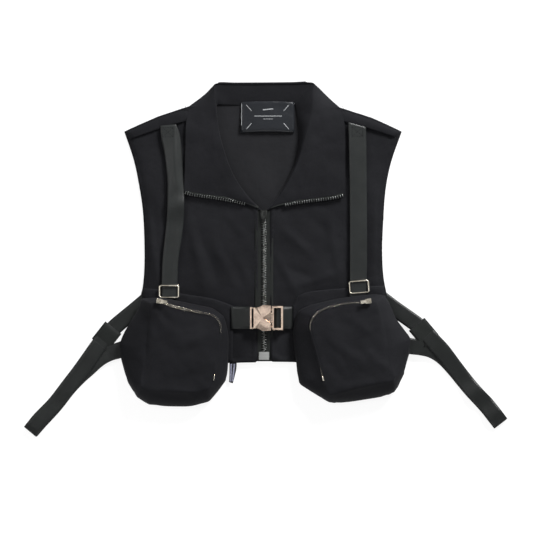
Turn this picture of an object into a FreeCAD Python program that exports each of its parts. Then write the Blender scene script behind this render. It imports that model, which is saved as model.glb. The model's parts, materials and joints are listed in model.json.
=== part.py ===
import FreeCAD, Part
import os
import re
import Sketcher

# A cropped vest with a folded-out zip collar, two boxed pouches, a chest belt with a metal
# buckle, shoulder webbing and adjustable side straps.  It lies flat on its back: +X is to the
# right as seen from above, +Y runs towards the collar and +Z points up.  The origin is on the
# resting plane, on the centre line of the front, 254 mm below the top of the collar.

DIMENSIONS = {
    # Cloth and levels above the resting plane.
    "cloth_thickness": 2.0,
    "front_level": 8.0,
    "leaf_level": 10.3,
    "seam_gap": 0.6,
    # Body panels: half outline, mirrored about the centre line.
    "front_edge": 9.5,
    "hem_level": -171.0,
    "side_x": 188.0,
    "armhole_low_y": -67.0,
    "armhole_waist_x": 181.0,
    "armhole_waist_y": 0.0,
    "armhole_high_x": 187.0,
    "armhole_high_y": 93.0,
    "armhole_bow": -2.0,
    "shoulder_tip_x": 210.0,
    "shoulder_tip_y": 180.0,
    "shoulder_top_x": 162.0,
    "shoulder_top_y": 201.0,
    "shoulder_neck_x": 113.0,
    "shoulder_neck_y": 217.0,
    "yoke_tip_x": 204.0,
    "yoke_tip_y": 173.0,
    "yoke_mid_x": 157.0,
    "yoke_mid_y": 187.0,
    "yoke_neck_x": 120.0,
    "yoke_neck_y": 197.0,
    "neck_side_x": 75.0,
    "neck_side_y": 222.0,
    "neck_bow": -3.0,
    # Collar.
    "collar_top_x": 77.0,
    "collar_top_y": 254.0,
    "collar_corner_x": 96.0,
    "collar_corner_y": 234.0,
    "collar_thickness": 7.6,
    "roll_top_x": 72.0,
    "roll_top_y": 216.0,
    "roll_high_x": 65.0,
    "roll_high_y": 181.0,
    "roll_low_x": 45.5,
    "roll_low_y": 109.0,
    "roll_bow": -2.0,
    "roll_end_x": 11.0,
    "roll_end_y": 68.0,
    "roll_end_bow": -4.0,
    "leaf_outer_x": 119.5,
    "leaf_top_y": 212.0,
    "leaf_low_y": 88.0,
    "leaf_hem_y": 73.0,
    "collar_zip_width": 5.0,
    # Main zip.
    "tape_thickness": 0.7,
    "tape_inner": 5.6,
    "tape_outer": 16.0,
    "teeth_half_width": 3.2,
    "teeth_bottom": 6.9,
    "teeth_height": 2.7,
    "zip_top_y": 60.0,
    "zip_bottom_y": -155.0,
    "zip_box_half_width": 7.8,
    "zip_box_length": 12.0,
    "zip_box_height": 3.8,
    # Zip sliders and pulls.
    "slider_width": 9.6,
    "slider_length": 12.0,
    "slider_wall": 1.3,
    "slider_clearance": 0.4,
    "slider_y": 49.0,
    "pull_width": 5.0,
    "pull_length": 17.0,
    "pull_thickness": 1.4,
    "bail_length": 4.0,
    # Shoulder webbing and its adjusters.
    "webbing_width": 25.0,
    "webbing_thickness": 1.5,
    "shoulder_web_level": 12.0,
    "shoulder_web_x": 143.0,
    "shoulder_web_low_y": -76.0,
    "ring_y": -62.5,
    "ring_width": 33.5,
    "ring_length": 21.5,
    "ring_bar": 2.6,
    "ring_level": 10.3,
    "ring_height": 5.1,
    # Belt and buckle.
    "belt_y": -103.0,
    "belt_width": 34.5,
    "belt_level": 10.3,
    "belt_seam_x": 50.0,
    "buckle_level": 12.2,
    "buckle_height": 8.8,
    "buckle_plate": 1.6,
    "buckle_width": 38.0,
    "buckle_mouth_x": 10.5,
    "buckle_waist_x": -3.5,
    "buckle_tail_x": -15.7,
    "buckle_waist_bow": -2.3,
    "horn_end_x": -21.0,
    "horn_width": 34.0,
    "horn_bar": 2.4,
    "cavity_start_x": -7.0,
    "cavity_width": 32.4,
    "cavity_height": 4.8,
    "notch_depth": 12.0,
    "notch_width": 19.0,
    "male_ring_start_x": 12.2,
    "male_ring_end_x": 29.0,
    "male_ring_width": 36.4,
    "male_ring_bar": 2.9,
    "male_ring_height": 7.4,
    "tongue_tip_x": -2.0,
    "tongue_width": 17.6,
    "tongue_tip_width": 3.0,
    "prong_width": 3.6,
    "prong_spacing": 26.0,
    "tongue_height": 3.6,
    "button_start_x": -2.0,
    "button_length": 9.0,
    "button_height": 3.4,
    "button_depth": 3.2,
    "button_proud": 0.6,
    # Pouches: half outline of the widest section and of the front face.
    "pouch_level": 12.2,
    "pouch_depth": 28.0,
    "pouch_belly": 13.0,
    "pouch_wall": 1.8,
    "pouch_top_y": -77.0,
    "pouch_top_outer_x": 188.0,
    "pouch_high_x": 206.0,
    "pouch_high_y": -112.0,
    "pouch_wide_x": 220.0,
    "pouch_wide_y": -140.0,
    "pouch_low_x": 208.0,
    "pouch_low_y": -196.0,
    "pouch_bottom_outer_x": 180.0,
    "pouch_bottom_y": -233.0,
    "pouch_bottom_inner_x": 96.0,
    "pouch_inner_low_x": 53.0,
    "pouch_inner_low_y": -203.0,
    "pouch_inner_x": 50.0,
    "face_top_y": -73.0,
    "face_outer_x": 176.0,
    "face_wide_x": 190.0,
    "face_wide_y": -196.0,
    "face_bottom_y": -216.0,
    "face_bottom_inner_x": 84.0,
    "face_inner_x": 68.0,
    "face_inner_top_y": -112.0,
    "face_corner_x": 90.0,
    "face_corner_y": -84.0,
    # Pouch zips, on the front faces.
    "pouch_chain_width": 3.6,
    "pouch_chain_height": 1.8,
    "pouch_chain_inset": 1.0,
    "pouch_chain_end_y": -196.0,
    "pouch_slider_x": 157.0,
    "pouch_slider_y": -77.0,
    "pouch_slider_width": 7.2,
    "pouch_slider_length": 9.0,
    "pouch_zip_drop": 9.0,
    "pouch_zip_turn_x": 96.0,
    "pouch_mouth_above": 3.0,
    "pouch_mouth_below": 6.5,
    "pouch_pull_length": 16.0,
    # Side straps: left and right lie a little differently.
    "side_web_level": 1.8,
    "side_arm_level": 7.0,
    "side_hinge_high_x": 202.0,
    "side_hinge_high_y": -75.0,
    "side_hinge_low_x": 234.0,
    "side_hinge_low_y": -165.0,
    "anchor_root_x": 188.6,
    "left_strap_start_x": 170.0,
    "left_strap_start_y": -73.0,
    "left_strap_bend_x": 227.0,
    "left_strap_bend_y": -115.0,
    "left_strap_end_x": 353.0,
    "left_strap_end_y": -275.0,
    "left_arm_y": -149.0,
    "left_arm_join": 58.0,
    "right_strap_start_x": 170.0,
    "right_strap_start_y": -68.0,
    "right_strap_bend_x": 230.0,
    "right_strap_bend_y": -110.0,
    "right_strap_end_x": 361.0,
    "right_strap_end_y": -266.0,
    "right_arm_y": -142.0,
    "right_arm_join": 58.0,
    "arm_tack_length": 12.0,
    "side_adjuster_width": 31.0,
    "side_adjuster_length": 33.0,
    "side_adjuster_height": 6.3,
    "side_adjuster_bar": 2.2,
    "side_adjuster_place": 20.5,
    # Label and tag.
    "label_x": 5.6,
    "label_y": 198.0,
    "label_width": 81.0,
    "label_length": 40.0,
    "label_level": 2.2,
    "label_thickness": 2.2,
    "tag_x": -48.5,
    "tag_y": -188.0,
    "tag_width": 9.0,
    "tag_length": 30.0,
    "tag_thickness": 0.9,
    "tag_level": 6.8,
}

SIDES = (("left", -1), ("right", 1))

doc = FreeCAD.newDocument("harness_vest")
sheet = doc.addObject("Spreadsheet::Sheet", "dims")
for row, (alias, number) in enumerate(DIMENSIONS.items(), start=1):
    sheet.set(f"A{row}", alias)
    sheet.set(f"B{row}", str(number))
    sheet.setAlias(f"B{row}", alias)
doc.recompute()

pieces = []


def formula(text):
    """Turn plain names of dimensions into references to the sheet's cells."""
    return re.sub(
        r"[a-z][a-z_0-9]*",
        lambda word: f"dims.{word.group()}" if word.group() in DIMENSIONS else word.group(),
        str(text),
    )


def amount(text):
    """The number that a formula gives at present."""
    result = sheet.evalExpression(formula(text))
    return float(getattr(result, "Value", result))


def bind(item, **sizes):
    """Bind properties of an object to formulas; double underscores stand for dots."""
    for name, text in sizes.items():
        item.setExpression(name.replace("__", "."), formula(text))


def sub_part(item, label):
    """Give a finished sub-part its own label and list it for export."""
    item.Label = label
    pieces.append(item)
    return item


def mirrored(points, sign):
    """The outline's points on one side of the centre line; a third entry is an arc's bow."""
    return [(f"{sign}*({point[0]})", *point[1:]) for point in points]


def draw_outline(sketch, points, sign=1):
    """Draw a closed outline whose corners are bound to formulas.

    A point is (x, y) or (x, y, bow).  With a bow, the edge that leaves the point is an arc that
    stands out by that much from its chord, on the outside of an anticlockwise outline.
    """
    corners = [FreeCAD.Vector(amount(point[0]), amount(point[1]), 0) for point in points]
    starts = []
    finishes = []
    for index, point in enumerate(points):
        here = corners[index]
        following = points[(index + 1) % len(points)]
        there = corners[(index + 1) % len(points)]
        bow = amount(point[2]) * sign if len(point) > 2 else 0
        if bow:
            chord = there - here
            outward = FreeCAD.Vector(chord.y, -chord.x, 0).normalize()
            middle = (here + there) * 0.5 + outward * bow
            first, last = (here, there) if bow > 0 else (there, here)
            edge = sketch.addGeometry(Part.ArcOfCircle(first, middle, last), False)
            starts.append((edge, 1 if bow > 0 else 2))
            finishes.append((edge, 2 if bow > 0 else 1))
            radius = (
                f"((({following[0]})-({point[0]}))^2+(({following[1]})-({point[1]}))^2"
                f"+4*({point[2]})^2)/(8*abs({point[2]}))"
            )
            constraint = Sketcher.Constraint("Radius", edge, amount(radius))
            sketch.setExpression(f"Constraints[{sketch.addConstraint(constraint)}]", formula(radius))
        else:
            edge = sketch.addGeometry(Part.LineSegment(here, there), False)
            starts.append((edge, 1))
            finishes.append((edge, 2))
    for index, finish in enumerate(finishes):
        start = starts[(index + 1) % len(starts)]
        sketch.addConstraint(Sketcher.Constraint("Coincident", *finish, *start))
    for point, corner, start in zip(points, corners, starts):
        for kind, text, number in (("DistanceX", point[0], corner.x), ("DistanceY", point[1], corner.y)):
            placed = sketch.addConstraint(Sketcher.Constraint(kind, -1, 1, *start, number))
            sketch.setExpression(f"Constraints[{placed}]", formula(text))


def padded_outline(name, points, thickness, level, sign=1):
    """A PartDesign body: one outline on the XY plane, padded upwards from a level."""
    body = doc.addObject("PartDesign::Body", name)
    sketch = body.newObject("Sketcher::SketchObject", f"{name}_outline")
    plane = [item for item in body.Origin.OriginFeatures if item.Role == "XY_Plane"][0]
    sketch.AttachmentSupport = [(plane, "")]
    sketch.MapMode = "FlatFace"
    draw_outline(sketch, points, sign)
    pad = body.newObject("PartDesign::Pad", f"{name}_pad")
    pad.Profile = sketch
    pad.Length = amount(thickness)
    bind(pad, Length=thickness)
    bind(body, Placement__Base__z=level)
    return body


def block(name, low, size):
    """A box from its lowest corner and its three sizes, each a formula."""
    item = doc.addObject("Part::Box", name)
    bind(item, Length=size[0], Width=size[1], Height=size[2])
    bind(item, Placement__Base__x=low[0], Placement__Base__y=low[1], Placement__Base__z=low[2])
    return item


def centred_block(name, centre, size):
    """A box centred in X and Y on a point, standing on the point's level."""
    low = (f"({centre[0]})-({size[0]})/2", f"({centre[1]})-({size[1]})/2", centre[2])
    return block(name, low, size)


def cut(name, base, *tools):
    """The base less each tool in turn."""
    result = base
    for index, tool in enumerate(tools, start=1):
        step = doc.addObject("Part::Cut", name if index == len(tools) else f"{name}_cut_{index}")
        step.Base = result
        step.Tool = tool
        result = step
    return result


def fused(name, *members):
    """Several solids made one."""
    item = doc.addObject("Part::MultiFuse", name)
    item.Shapes = list(members)
    return item


def grouped(name, *members):
    """Several separate solids kept in one node."""
    item = doc.addObject("Part::Compound", name)
    item.Links = list(members)
    return item


def turned_block(name, start, direction, along, across, size, level):
    """A box lying along a direction in the XY plane.

    along and across place its lowest corner from the start, and size is length, width, height.
    """
    angle = f"atan2({direction[1]}; {direction[0]})"
    item = doc.addObject("Part::Box", name)
    bind(item, Length=size[0], Width=size[1], Height=size[2])
    item.Placement = FreeCAD.Placement(FreeCAD.Vector(), FreeCAD.Rotation(FreeCAD.Vector(0, 0, 1), 1))
    bind(
        item,
        Placement__Rotation__Angle=angle,
        Placement__Base__x=f"({start[0]})+cos({angle})*({along})-sin({angle})*({across})",
        Placement__Base__y=f"({start[1]})+sin({angle})*({along})+cos({angle})*({across})",
        Placement__Base__z=level,
    )
    return item


# ---------------------------------------------------------------- body panels

ARMHOLE = [
    ("side_x", "armhole_low_y", "armhole_bow"),
    ("armhole_waist_x", "armhole_waist_y", "armhole_bow"),
    ("armhole_high_x", "armhole_high_y", "armhole_bow"),
]


def both_sides(right, crown_bow=None):
    """A closed outline from its right half, listed upwards; the left half mirrors it."""
    left = []
    for index in reversed(range(len(right))):
        bow = right[index - 1][2:] if index else ()
        left.append((f"-({right[index][0]})", right[index][1], *bow))
    crown = right[-1] if crown_bow is None else (*right[-1][:2], crown_bow)
    return [*right[:-1], crown, *left]


def build_back_panel():
    """The back: one piece from hem to shoulder seams, with a shallow neckline."""
    right = [("side_x", "hem_level"), *ARMHOLE, ("yoke_tip_x", "yoke_tip_y"),
             ("yoke_mid_x", "yoke_mid_y"), ("yoke_neck_x", "yoke_neck_y"),
             ("shoulder_neck_x-0.3", "shoulder_neck_y-0.6"), ("neck_side_x", "neck_side_y")]
    panel = padded_outline("back_panel_body", both_sides(right, "neck_bow"), "cloth_thickness", 0)
    sub_part(panel, "back_panel")


def build_shoulder_yoke(side, sign):
    """The yoke folds over the shoulder, so its section is a U that opens towards the body."""
    rim = [("yoke_neck_x", "yoke_neck_y+0.05"), ("yoke_mid_x", "yoke_mid_y+0.05"),
           ("yoke_tip_x", "yoke_tip_y+0.05"), ("shoulder_tip_x", "shoulder_tip_y"),
           ("shoulder_top_x", "shoulder_top_y"), ("shoulder_neck_x", "shoulder_neck_y-0.4")]
    lining = [("yoke_neck_x-10", "yoke_neck_y-9"), ("yoke_mid_x", "yoke_mid_y-9"),
              ("yoke_tip_x+9", "yoke_tip_y-9"), ("shoulder_tip_x+4", "shoulder_tip_y-4"),
              ("shoulder_top_x", "shoulder_top_y-2*cloth_thickness"),
              ("shoulder_neck_x-8", "shoulder_neck_y-cloth_thickness")]
    outer = padded_outline(f"{side}_yoke_rim", mirrored(rim, sign),
                           "front_level+cloth_thickness", 0, sign)
    inner = padded_outline(f"{side}_yoke_lining", mirrored(lining, sign),
                           "front_level-cloth_thickness", "cloth_thickness", sign)
    sub_part(cut(f"{side}_yoke", outer, inner), f"shoulder_yoke_{side}")


def build_front_panel(side, sign):
    """A front half: centre edge, hem, side, armhole, yoke seam and the collar's roll line."""
    points = [("front_edge", "hem_level"), ("side_x", "hem_level"), *ARMHOLE,
              ("yoke_tip_x", "yoke_tip_y"), ("yoke_mid_x", "yoke_mid_y"),
              ("yoke_neck_x", "yoke_neck_y"), ("shoulder_neck_x-0.3", "shoulder_neck_y-0.8"),
              ("roll_top_x", "roll_top_y"),
              ("roll_high_x", "roll_high_y", "roll_bow"),
              ("roll_low_x", "roll_low_y", "roll_end_bow"),
              ("front_edge", "roll_end_y-2")]
    panel = padded_outline(f"{side}_front", mirrored(points, sign), "cloth_thickness",
                           "front_level", sign)
    sub_part(panel, f"front_panel_{side}")


# ---------------------------------------------------------------- collar

def build_collar_back():
    """The back of the collar: stand and fall folded together above the neck seam."""
    right = [("shoulder_neck_x", "shoulder_neck_y+0.1"), ("collar_corner_x", "collar_corner_y"),
             ("collar_top_x", "collar_top_y")]
    points = both_sides(right)
    neck = [("-neck_side_x", "neck_side_y+0.1", "-neck_bow"), ("neck_side_x", "neck_side_y+0.1")]
    collar = padded_outline("collar_back_body", points + neck, "collar_thickness", 0)
    sub_part(collar, "collar_back")


# The fold line of a collar leaf runs through the two roll points.
FOLD_SLOPE = "(roll_high_x-roll_low_x)/(roll_high_y-roll_low_y)"


def fold_x(height, offset):
    """X of the fold line at a height, moved outwards by an offset."""
    return f"roll_low_x+(({height})-roll_low_y)*{FOLD_SLOPE}+({offset})"


def build_collar_leaf(side, sign):
    """The part of the collar that swings about the fold line, from the fold to its outer edge."""
    points = [(fold_x("leaf_hem_y+2", "seam_gap/2"), "leaf_hem_y+2"),
              ("leaf_outer_x", "leaf_low_y"), ("leaf_outer_x", "leaf_top_y"),
              (fold_x("leaf_top_y+3", "seam_gap/2"), "leaf_top_y+3")]
    leaf = padded_outline(f"{side}_leaf", mirrored(points, sign), "cloth_thickness", "leaf_level", sign)
    sub_part(leaf, f"collar_leaf_{side}")


def build_collar_roll(side, sign):
    """The rolled edge between the neck opening and the fold line, which stays with the panel."""
    points = [("roll_end_x", "roll_end_y"), (fold_x("leaf_hem_y+2", "-seam_gap/2"), "leaf_hem_y+2"),
              ("roll_low_x-seam_gap/2", "roll_low_y", "-roll_end_bow/2")]
    roll = padded_outline(f"{side}_roll", mirrored(points, sign), "cloth_thickness", "leaf_level", sign)
    sub_part(roll, f"collar_roll_{side}")


def build_collar_zip(side, sign):
    """The open half of the zip along the leaf's lower edge."""
    start_y = "leaf_hem_y+1.7"
    points = [(fold_x("leaf_hem_y", "seam_gap/2+0.5"), f"{start_y}-collar_zip_width"),
              ("leaf_outer_x", "leaf_low_y-0.3-collar_zip_width"),
              ("leaf_outer_x", "leaf_low_y-0.3"),
              (fold_x("leaf_hem_y", "seam_gap/2+0.5"), start_y)]
    teeth = padded_outline(f"{side}_collar_zip", mirrored(points, sign), "cloth_thickness*0.9",
                           "leaf_level", sign)
    sub_part(teeth, f"collar_zip_{side}")


# ---------------------------------------------------------------- main zip

def build_main_zip():
    """Two tapes under the front edges, two rows of teeth and the box at the bottom end."""
    length = "zip_top_y-zip_bottom_y"
    for side, sign in SIDES:
        tape_low = "tape_inner" if sign > 0 else "-tape_outer"
        teeth_low = "0" if sign > 0 else "-teeth_half_width"
        tape = block(f"{side}_tape", (tape_low, "zip_bottom_y", "front_level-tape_thickness"),
                     ("tape_outer-tape_inner", length, "tape_thickness"))
        sub_part(tape, f"zip_tape_{side}")
        teeth = block(f"{side}_teeth", (teeth_low, "zip_bottom_y", "teeth_bottom"),
                      ("teeth_half_width", length, "teeth_height"))
        sub_part(teeth, f"zip_teeth_{side}")
    box = block("zip_box", ("-zip_box_half_width", "zip_bottom_y-zip_box_length", "teeth_bottom-0.5"),
                ("2*zip_box_half_width", "zip_box_length", "zip_box_height"))
    sub_part(box, "zip_retainer_box")


def slider_plates(name, centre, axis, width, length, floor, chain_top):
    """A saddle over a chain: a top plate, two flanges beside the teeth and a bail for the pull."""
    corner = "-(%s)/2" % length
    top_level = f"({chain_top})+slider_clearance"
    plate = turned_block(f"{name}_plate", centre, axis, corner, f"-({width})/2",
                         (length, width, "slider_wall"), top_level)
    flanges = [
        turned_block(f"{name}_flange_{edge}", centre, axis, corner, across,
                     (length, "slider_wall", f"{top_level}-({floor})"), floor)
        for edge, across in (("low", f"-({width})/2"), ("high", f"({width})/2-slider_wall"))
    ]
    bail = turned_block(f"{name}_bail", centre, axis, "-bail_length/2", "-slider_wall/2",
                        ("bail_length", "slider_wall", "slider_wall+pull_thickness"),
                        f"{top_level}+slider_wall")
    return [plate, *flanges, bail], f"{top_level}+slider_wall"


def pull_tab(name, centre, axis, length, seat):
    """A flat pull with a window at its root that goes over the slider's bail."""
    start = "-slider_wall-1.2-bail_length/2"
    tab = turned_block(f"{name}_tab", centre, axis, start, "-pull_width/2",
                       (length, "pull_width", "pull_thickness"), f"{seat}+0.35")
    window = turned_block(f"{name}_window", centre, axis, f"{start}+1.2", "-slider_wall/2-0.7",
                          ("bail_length+slider_wall*1.5", "slider_wall+1.4", "pull_thickness+2"),
                          f"{seat}-0.7")
    return cut(name, tab, window)


def build_main_slider():
    """The slider of the main zip, with its lower plate under the chain, and its pull."""
    centre = ("0", "slider_y+slider_length/2")
    down = ("0", "-1")
    floor = "front_level+0.3"
    chain_top = "teeth_bottom+teeth_height"
    members, seat = slider_plates("main_slider", centre, down, "slider_width", "slider_length",
                                  floor, chain_top)
    under = turned_block("main_slider_under", centre, down, "-slider_length/2", "-slider_width/2",
                         ("slider_length", "slider_width", "slider_wall"),
                         "teeth_bottom-slider_clearance-slider_wall")
    upper = fused("main_slider_upper", *members)
    sub_part(grouped("main_slider_set", upper, under), "main_slider")
    sub_part(pull_tab("main_pull_cut", centre, down, "pull_length", seat), "main_pull")


# ---------------------------------------------------------------- shoulder webbing

def build_shoulder_strap(side, sign):
    """Webbing from the yoke seam to the pouch, and the wire ring that slides along it."""
    web = centred_block(
        f"{side}_shoulder_web",
        (f"{sign}*shoulder_web_x", "(yoke_mid_y+shoulder_web_low_y)/2+2", "shoulder_web_level"),
        ("webbing_width", "yoke_mid_y-shoulder_web_low_y+3", "webbing_thickness"))
    sub_part(web, f"shoulder_webbing_{side}")
    sub_part(ring_frame(f"{side}_ring", (f"{sign}*shoulder_web_x", "ring_y"), ("1", "0"),
                        "ring_length", "ring_width", "ring_bar", "ring_level", "ring_height",
                        "shoulder_web_level", "webbing_thickness"), f"strap_ring_{side}")


def ring_frame(name, centre, axis, length, width, bar, level, height, web_level, web_thickness):
    """A slide adjuster: two end bars over the webbing, a middle bar under it and two sides.

    The axis is square to the webbing.
    """
    top = f"({web_level})+({web_thickness})+0.3"
    top_height = f"({level})+({height})-({top})"
    bottom_height = f"({web_level})-0.3-({level})"
    members = []
    for edge, across in (("low", f"-({length})/2"), ("high", f"({length})/2-({bar})")):
        members.append(turned_block(f"{name}_bar_{edge}", centre, axis, f"-({width})/2", across,
                                    (width, bar, top_height), top))
    members.append(turned_block(f"{name}_bar_middle", centre, axis, f"-({width})/2", f"-({bar})/2",
                                (width, bar, bottom_height), level))
    for edge, along in (("low", f"-({width})/2"), ("high", f"({width})/2-({bar})")):
        members.append(turned_block(f"{name}_side_{edge}", centre, axis, along, f"-({length})/2",
                                    (bar, length, height), level))
    return fused(f"{name}_frame", *members)


# ---------------------------------------------------------------- belt and buckle

def build_belt():
    """The two short ends of the chest belt; the right one ends in the male half's ring."""
    left = block("belt_left", ("-belt_seam_x", "belt_y-belt_width/2", "belt_level"),
                 ("belt_seam_x+horn_end_x+horn_bar", "belt_width", "webbing_thickness"))
    sub_part(left, "belt_webbing_left")
    right = block("belt_right", ("male_ring_end_x-male_ring_bar", "belt_y-belt_width/2", "belt_level"),
                  ("belt_seam_x-male_ring_end_x+male_ring_bar", "belt_width", "webbing_thickness"))
    sub_part(right, "belt_webbing_right")


def build_buckle_female():
    """The waisted socket: hollow inside, a V-shaped notch in its top, two horns and a strap bar."""
    half = "buckle_width/2"
    horn = "horn_width/2"
    points = [("buckle_waist_x", f"belt_y-{half}"), ("buckle_mouth_x", f"belt_y-{half}"),
              ("buckle_mouth_x", f"belt_y+{half}"),
              ("buckle_waist_x", f"belt_y+{half}", "buckle_waist_bow"),
              ("horn_end_x", f"belt_y+{horn}"),
              ("horn_end_x", f"belt_y-{horn}", "buckle_waist_bow")]
    solid = padded_outline("socket_solid", points, "buckle_height", "buckle_level")
    slot = centred_block("socket_slot",
                         ("(horn_end_x+horn_bar+buckle_tail_x)/2", "belt_y", "buckle_level-1"),
                         ("buckle_tail_x-horn_end_x-horn_bar", "horn_width-2*horn_bar",
                          "buckle_height+2"))
    cavity = block("socket_cavity",
                   ("cavity_start_x", "belt_y-cavity_width/2", "buckle_level+buckle_plate"),
                   ("buckle_mouth_x-cavity_start_x+1", "cavity_width", "cavity_height"))
    notch_points = [("buckle_mouth_x-notch_depth", "belt_y"),
                    ("buckle_mouth_x+1", "belt_y-notch_width/2"),
                    ("buckle_mouth_x+1", "belt_y+notch_width/2")]
    notch = padded_outline("socket_notch", notch_points, "buckle_height",
                           "buckle_level+buckle_plate+cavity_height/2")
    windows = block("socket_windows",
                    ("button_start_x-0.3", "belt_y-buckle_width",
                     "buckle_level+buckle_plate+(cavity_height-button_height)/2-0.3"),
                    ("button_length+0.6", "2*buckle_width", "button_height+0.6"))
    sub_part(cut("socket", solid, slot, cavity, notch, windows), "buckle_female")


def build_buckle_male():
    """The tongue, its two spring prongs and the strap ring, in one casting."""
    level = "buckle_level+buckle_plate+(cavity_height-tongue_height)/2"
    ring_level = "buckle_level+0.3"
    ring = block("male_ring", ("male_ring_start_x", "belt_y-male_ring_width/2", ring_level),
                 ("male_ring_end_x-male_ring_start_x", "male_ring_width", "male_ring_height"))
    window = block("male_window",
                   ("male_ring_start_x+male_ring_bar", "belt_y-male_ring_width/2+male_ring_bar",
                    "buckle_level-1"),
                   ("male_ring_end_x-male_ring_start_x-2*male_ring_bar",
                    "male_ring_width-2*male_ring_bar", "buckle_height+2"))
    tongue_points = [("tongue_tip_x", "belt_y+tongue_tip_width/2"),
                     ("tongue_tip_x", "belt_y-tongue_tip_width/2"),
                     ("male_ring_start_x+0.5", "belt_y-tongue_width/2"),
                     ("male_ring_start_x+0.5", "belt_y+tongue_width/2")]
    tongue = padded_outline("male_tongue", tongue_points, "tongue_height", level)
    prongs = [
        block(f"male_prong_{edge}",
              ("tongue_tip_x", f"belt_y+({place})-prong_width/2", level),
              ("male_ring_start_x+0.5-tongue_tip_x", "prong_width", "tongue_height"))
        for edge, place in (("low", "-prong_spacing/2"), ("high", "prong_spacing/2"))
    ]
    frame = cut("male_frame", ring, window)
    sub_part(fused("male_casting", frame, tongue, *prongs), "buckle_male")


def build_release_buttons():
    """A push button in each side wall of the socket, which presses the prong inwards."""
    level = "buckle_level+buckle_plate+(cavity_height-button_height)/2"
    for edge, low in (("lower", "belt_y-buckle_width/2-button_proud"),
                      ("upper", "belt_y+buckle_width/2+button_proud-button_depth")):
        button = block(f"button_{edge}", ("button_start_x", low, level),
                       ("button_length", "button_depth", "button_height"))
        sub_part(button, f"release_button_{edge}")


# ---------------------------------------------------------------- pouches

BELLY = [
    ("pouch_inner_x", "pouch_top_y"), ("pouch_inner_x", "(pouch_top_y+pouch_inner_low_y)/2"),
    ("pouch_inner_low_x", "pouch_inner_low_y"), ("pouch_bottom_inner_x", "pouch_bottom_y"),
    ("pouch_bottom_outer_x", "pouch_bottom_y"), ("pouch_low_x", "pouch_low_y"),
    ("pouch_wide_x", "pouch_wide_y"), ("pouch_high_x", "pouch_high_y"),
    ("pouch_top_outer_x", "pouch_top_y"),
]
FACE = [
    ("face_corner_x", "face_corner_y"), ("face_inner_x", "face_inner_top_y"),
    ("face_inner_x+4", "(face_inner_top_y+face_bottom_y)/2"),
    ("face_bottom_inner_x", "face_bottom_y"),
    ("face_wide_x-12", "face_bottom_y"), ("face_wide_x", "face_wide_y"),
    ("face_wide_x-4", "pouch_wide_y"), ("face_outer_x+3", "pouch_high_y"),
    ("face_outer_x", "face_top_y"),
]
POUCH_CENTRE = ("(pouch_inner_x+pouch_wide_x)/2", "(pouch_top_y+pouch_bottom_y)/2")


def pouch_section(name, points, level, sign, scale):
    """A section of a pouch, drawn in towards its centre by a scale, at a level."""
    sketch = doc.addObject("Sketcher::SketchObject", name)
    centre_x, centre_y = POUCH_CENTRE
    drawn_in = [
        (f"({centre_x})+(({x})-({centre_x}))*({scale})", f"({centre_y})+(({y})-({centre_y}))*({scale})")
        for x, y in points
    ]
    draw_outline(sketch, mirrored(drawn_in, sign), sign)
    bind(sketch, Placement__Base__z=level)
    return sketch


def pouch_loft(name, sections):
    """A ruled solid through the sections."""
    loft = doc.addObject("Part::Loft", name)
    loft.Sections = sections
    loft.Solid = True
    loft.Ruled = True
    return loft


def build_pouch(side, sign):
    """A hollow boxed pouch: a narrow back, a belly and a smaller front face, open along its zip."""
    full = "1"
    back = "0.96"
    inner = "(1-2*pouch_wall/(pouch_wide_x-pouch_inner_x)*1.1)"
    levels = ("pouch_level", "pouch_level+pouch_belly", "pouch_level+pouch_depth")
    shell = pouch_loft(f"{side}_pouch_outer", [
        pouch_section(f"{side}_pouch_back", BELLY, levels[0], sign, back),
        pouch_section(f"{side}_pouch_middle", BELLY, levels[1], sign, full),
        pouch_section(f"{side}_pouch_front", FACE, levels[2], sign, full),
    ])
    hollow = pouch_loft(f"{side}_pouch_inner", [
        pouch_section(f"{side}_hollow_back", BELLY, f"{levels[0]}+pouch_wall", sign,
                      f"{back}*{inner}"),
        pouch_section(f"{side}_hollow_middle", BELLY, levels[1], sign, inner),
        pouch_section(f"{side}_hollow_front", FACE, f"{levels[2]}-pouch_wall", sign, inner),
    ])
    lowest_edge = "-pouch_mouth_above" if sign > 0 else "-pouch_mouth_below"
    mouth = turned_block(f"{side}_pouch_mouth", (f"{sign}*pouch_slider_x", "pouch_slider_y"),
                         pouch_zip_axis(sign), "pouch_slider_length/2", lowest_edge,
                         ("pouch_slider_x-pouch_zip_turn_x", "pouch_mouth_above+pouch_mouth_below",
                          "3*pouch_wall"), f"{levels[2]}-2*pouch_wall")
    sub_part(cut(f"{side}_pouch", shell, hollow, mouth), f"pouch_{side}")


def pouch_zip_axis(sign):
    """The way the pouch's slider opens the zip: inwards and a little down."""
    return (f"{-sign}*(pouch_slider_x-pouch_zip_turn_x)", "-pouch_zip_drop")


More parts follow.
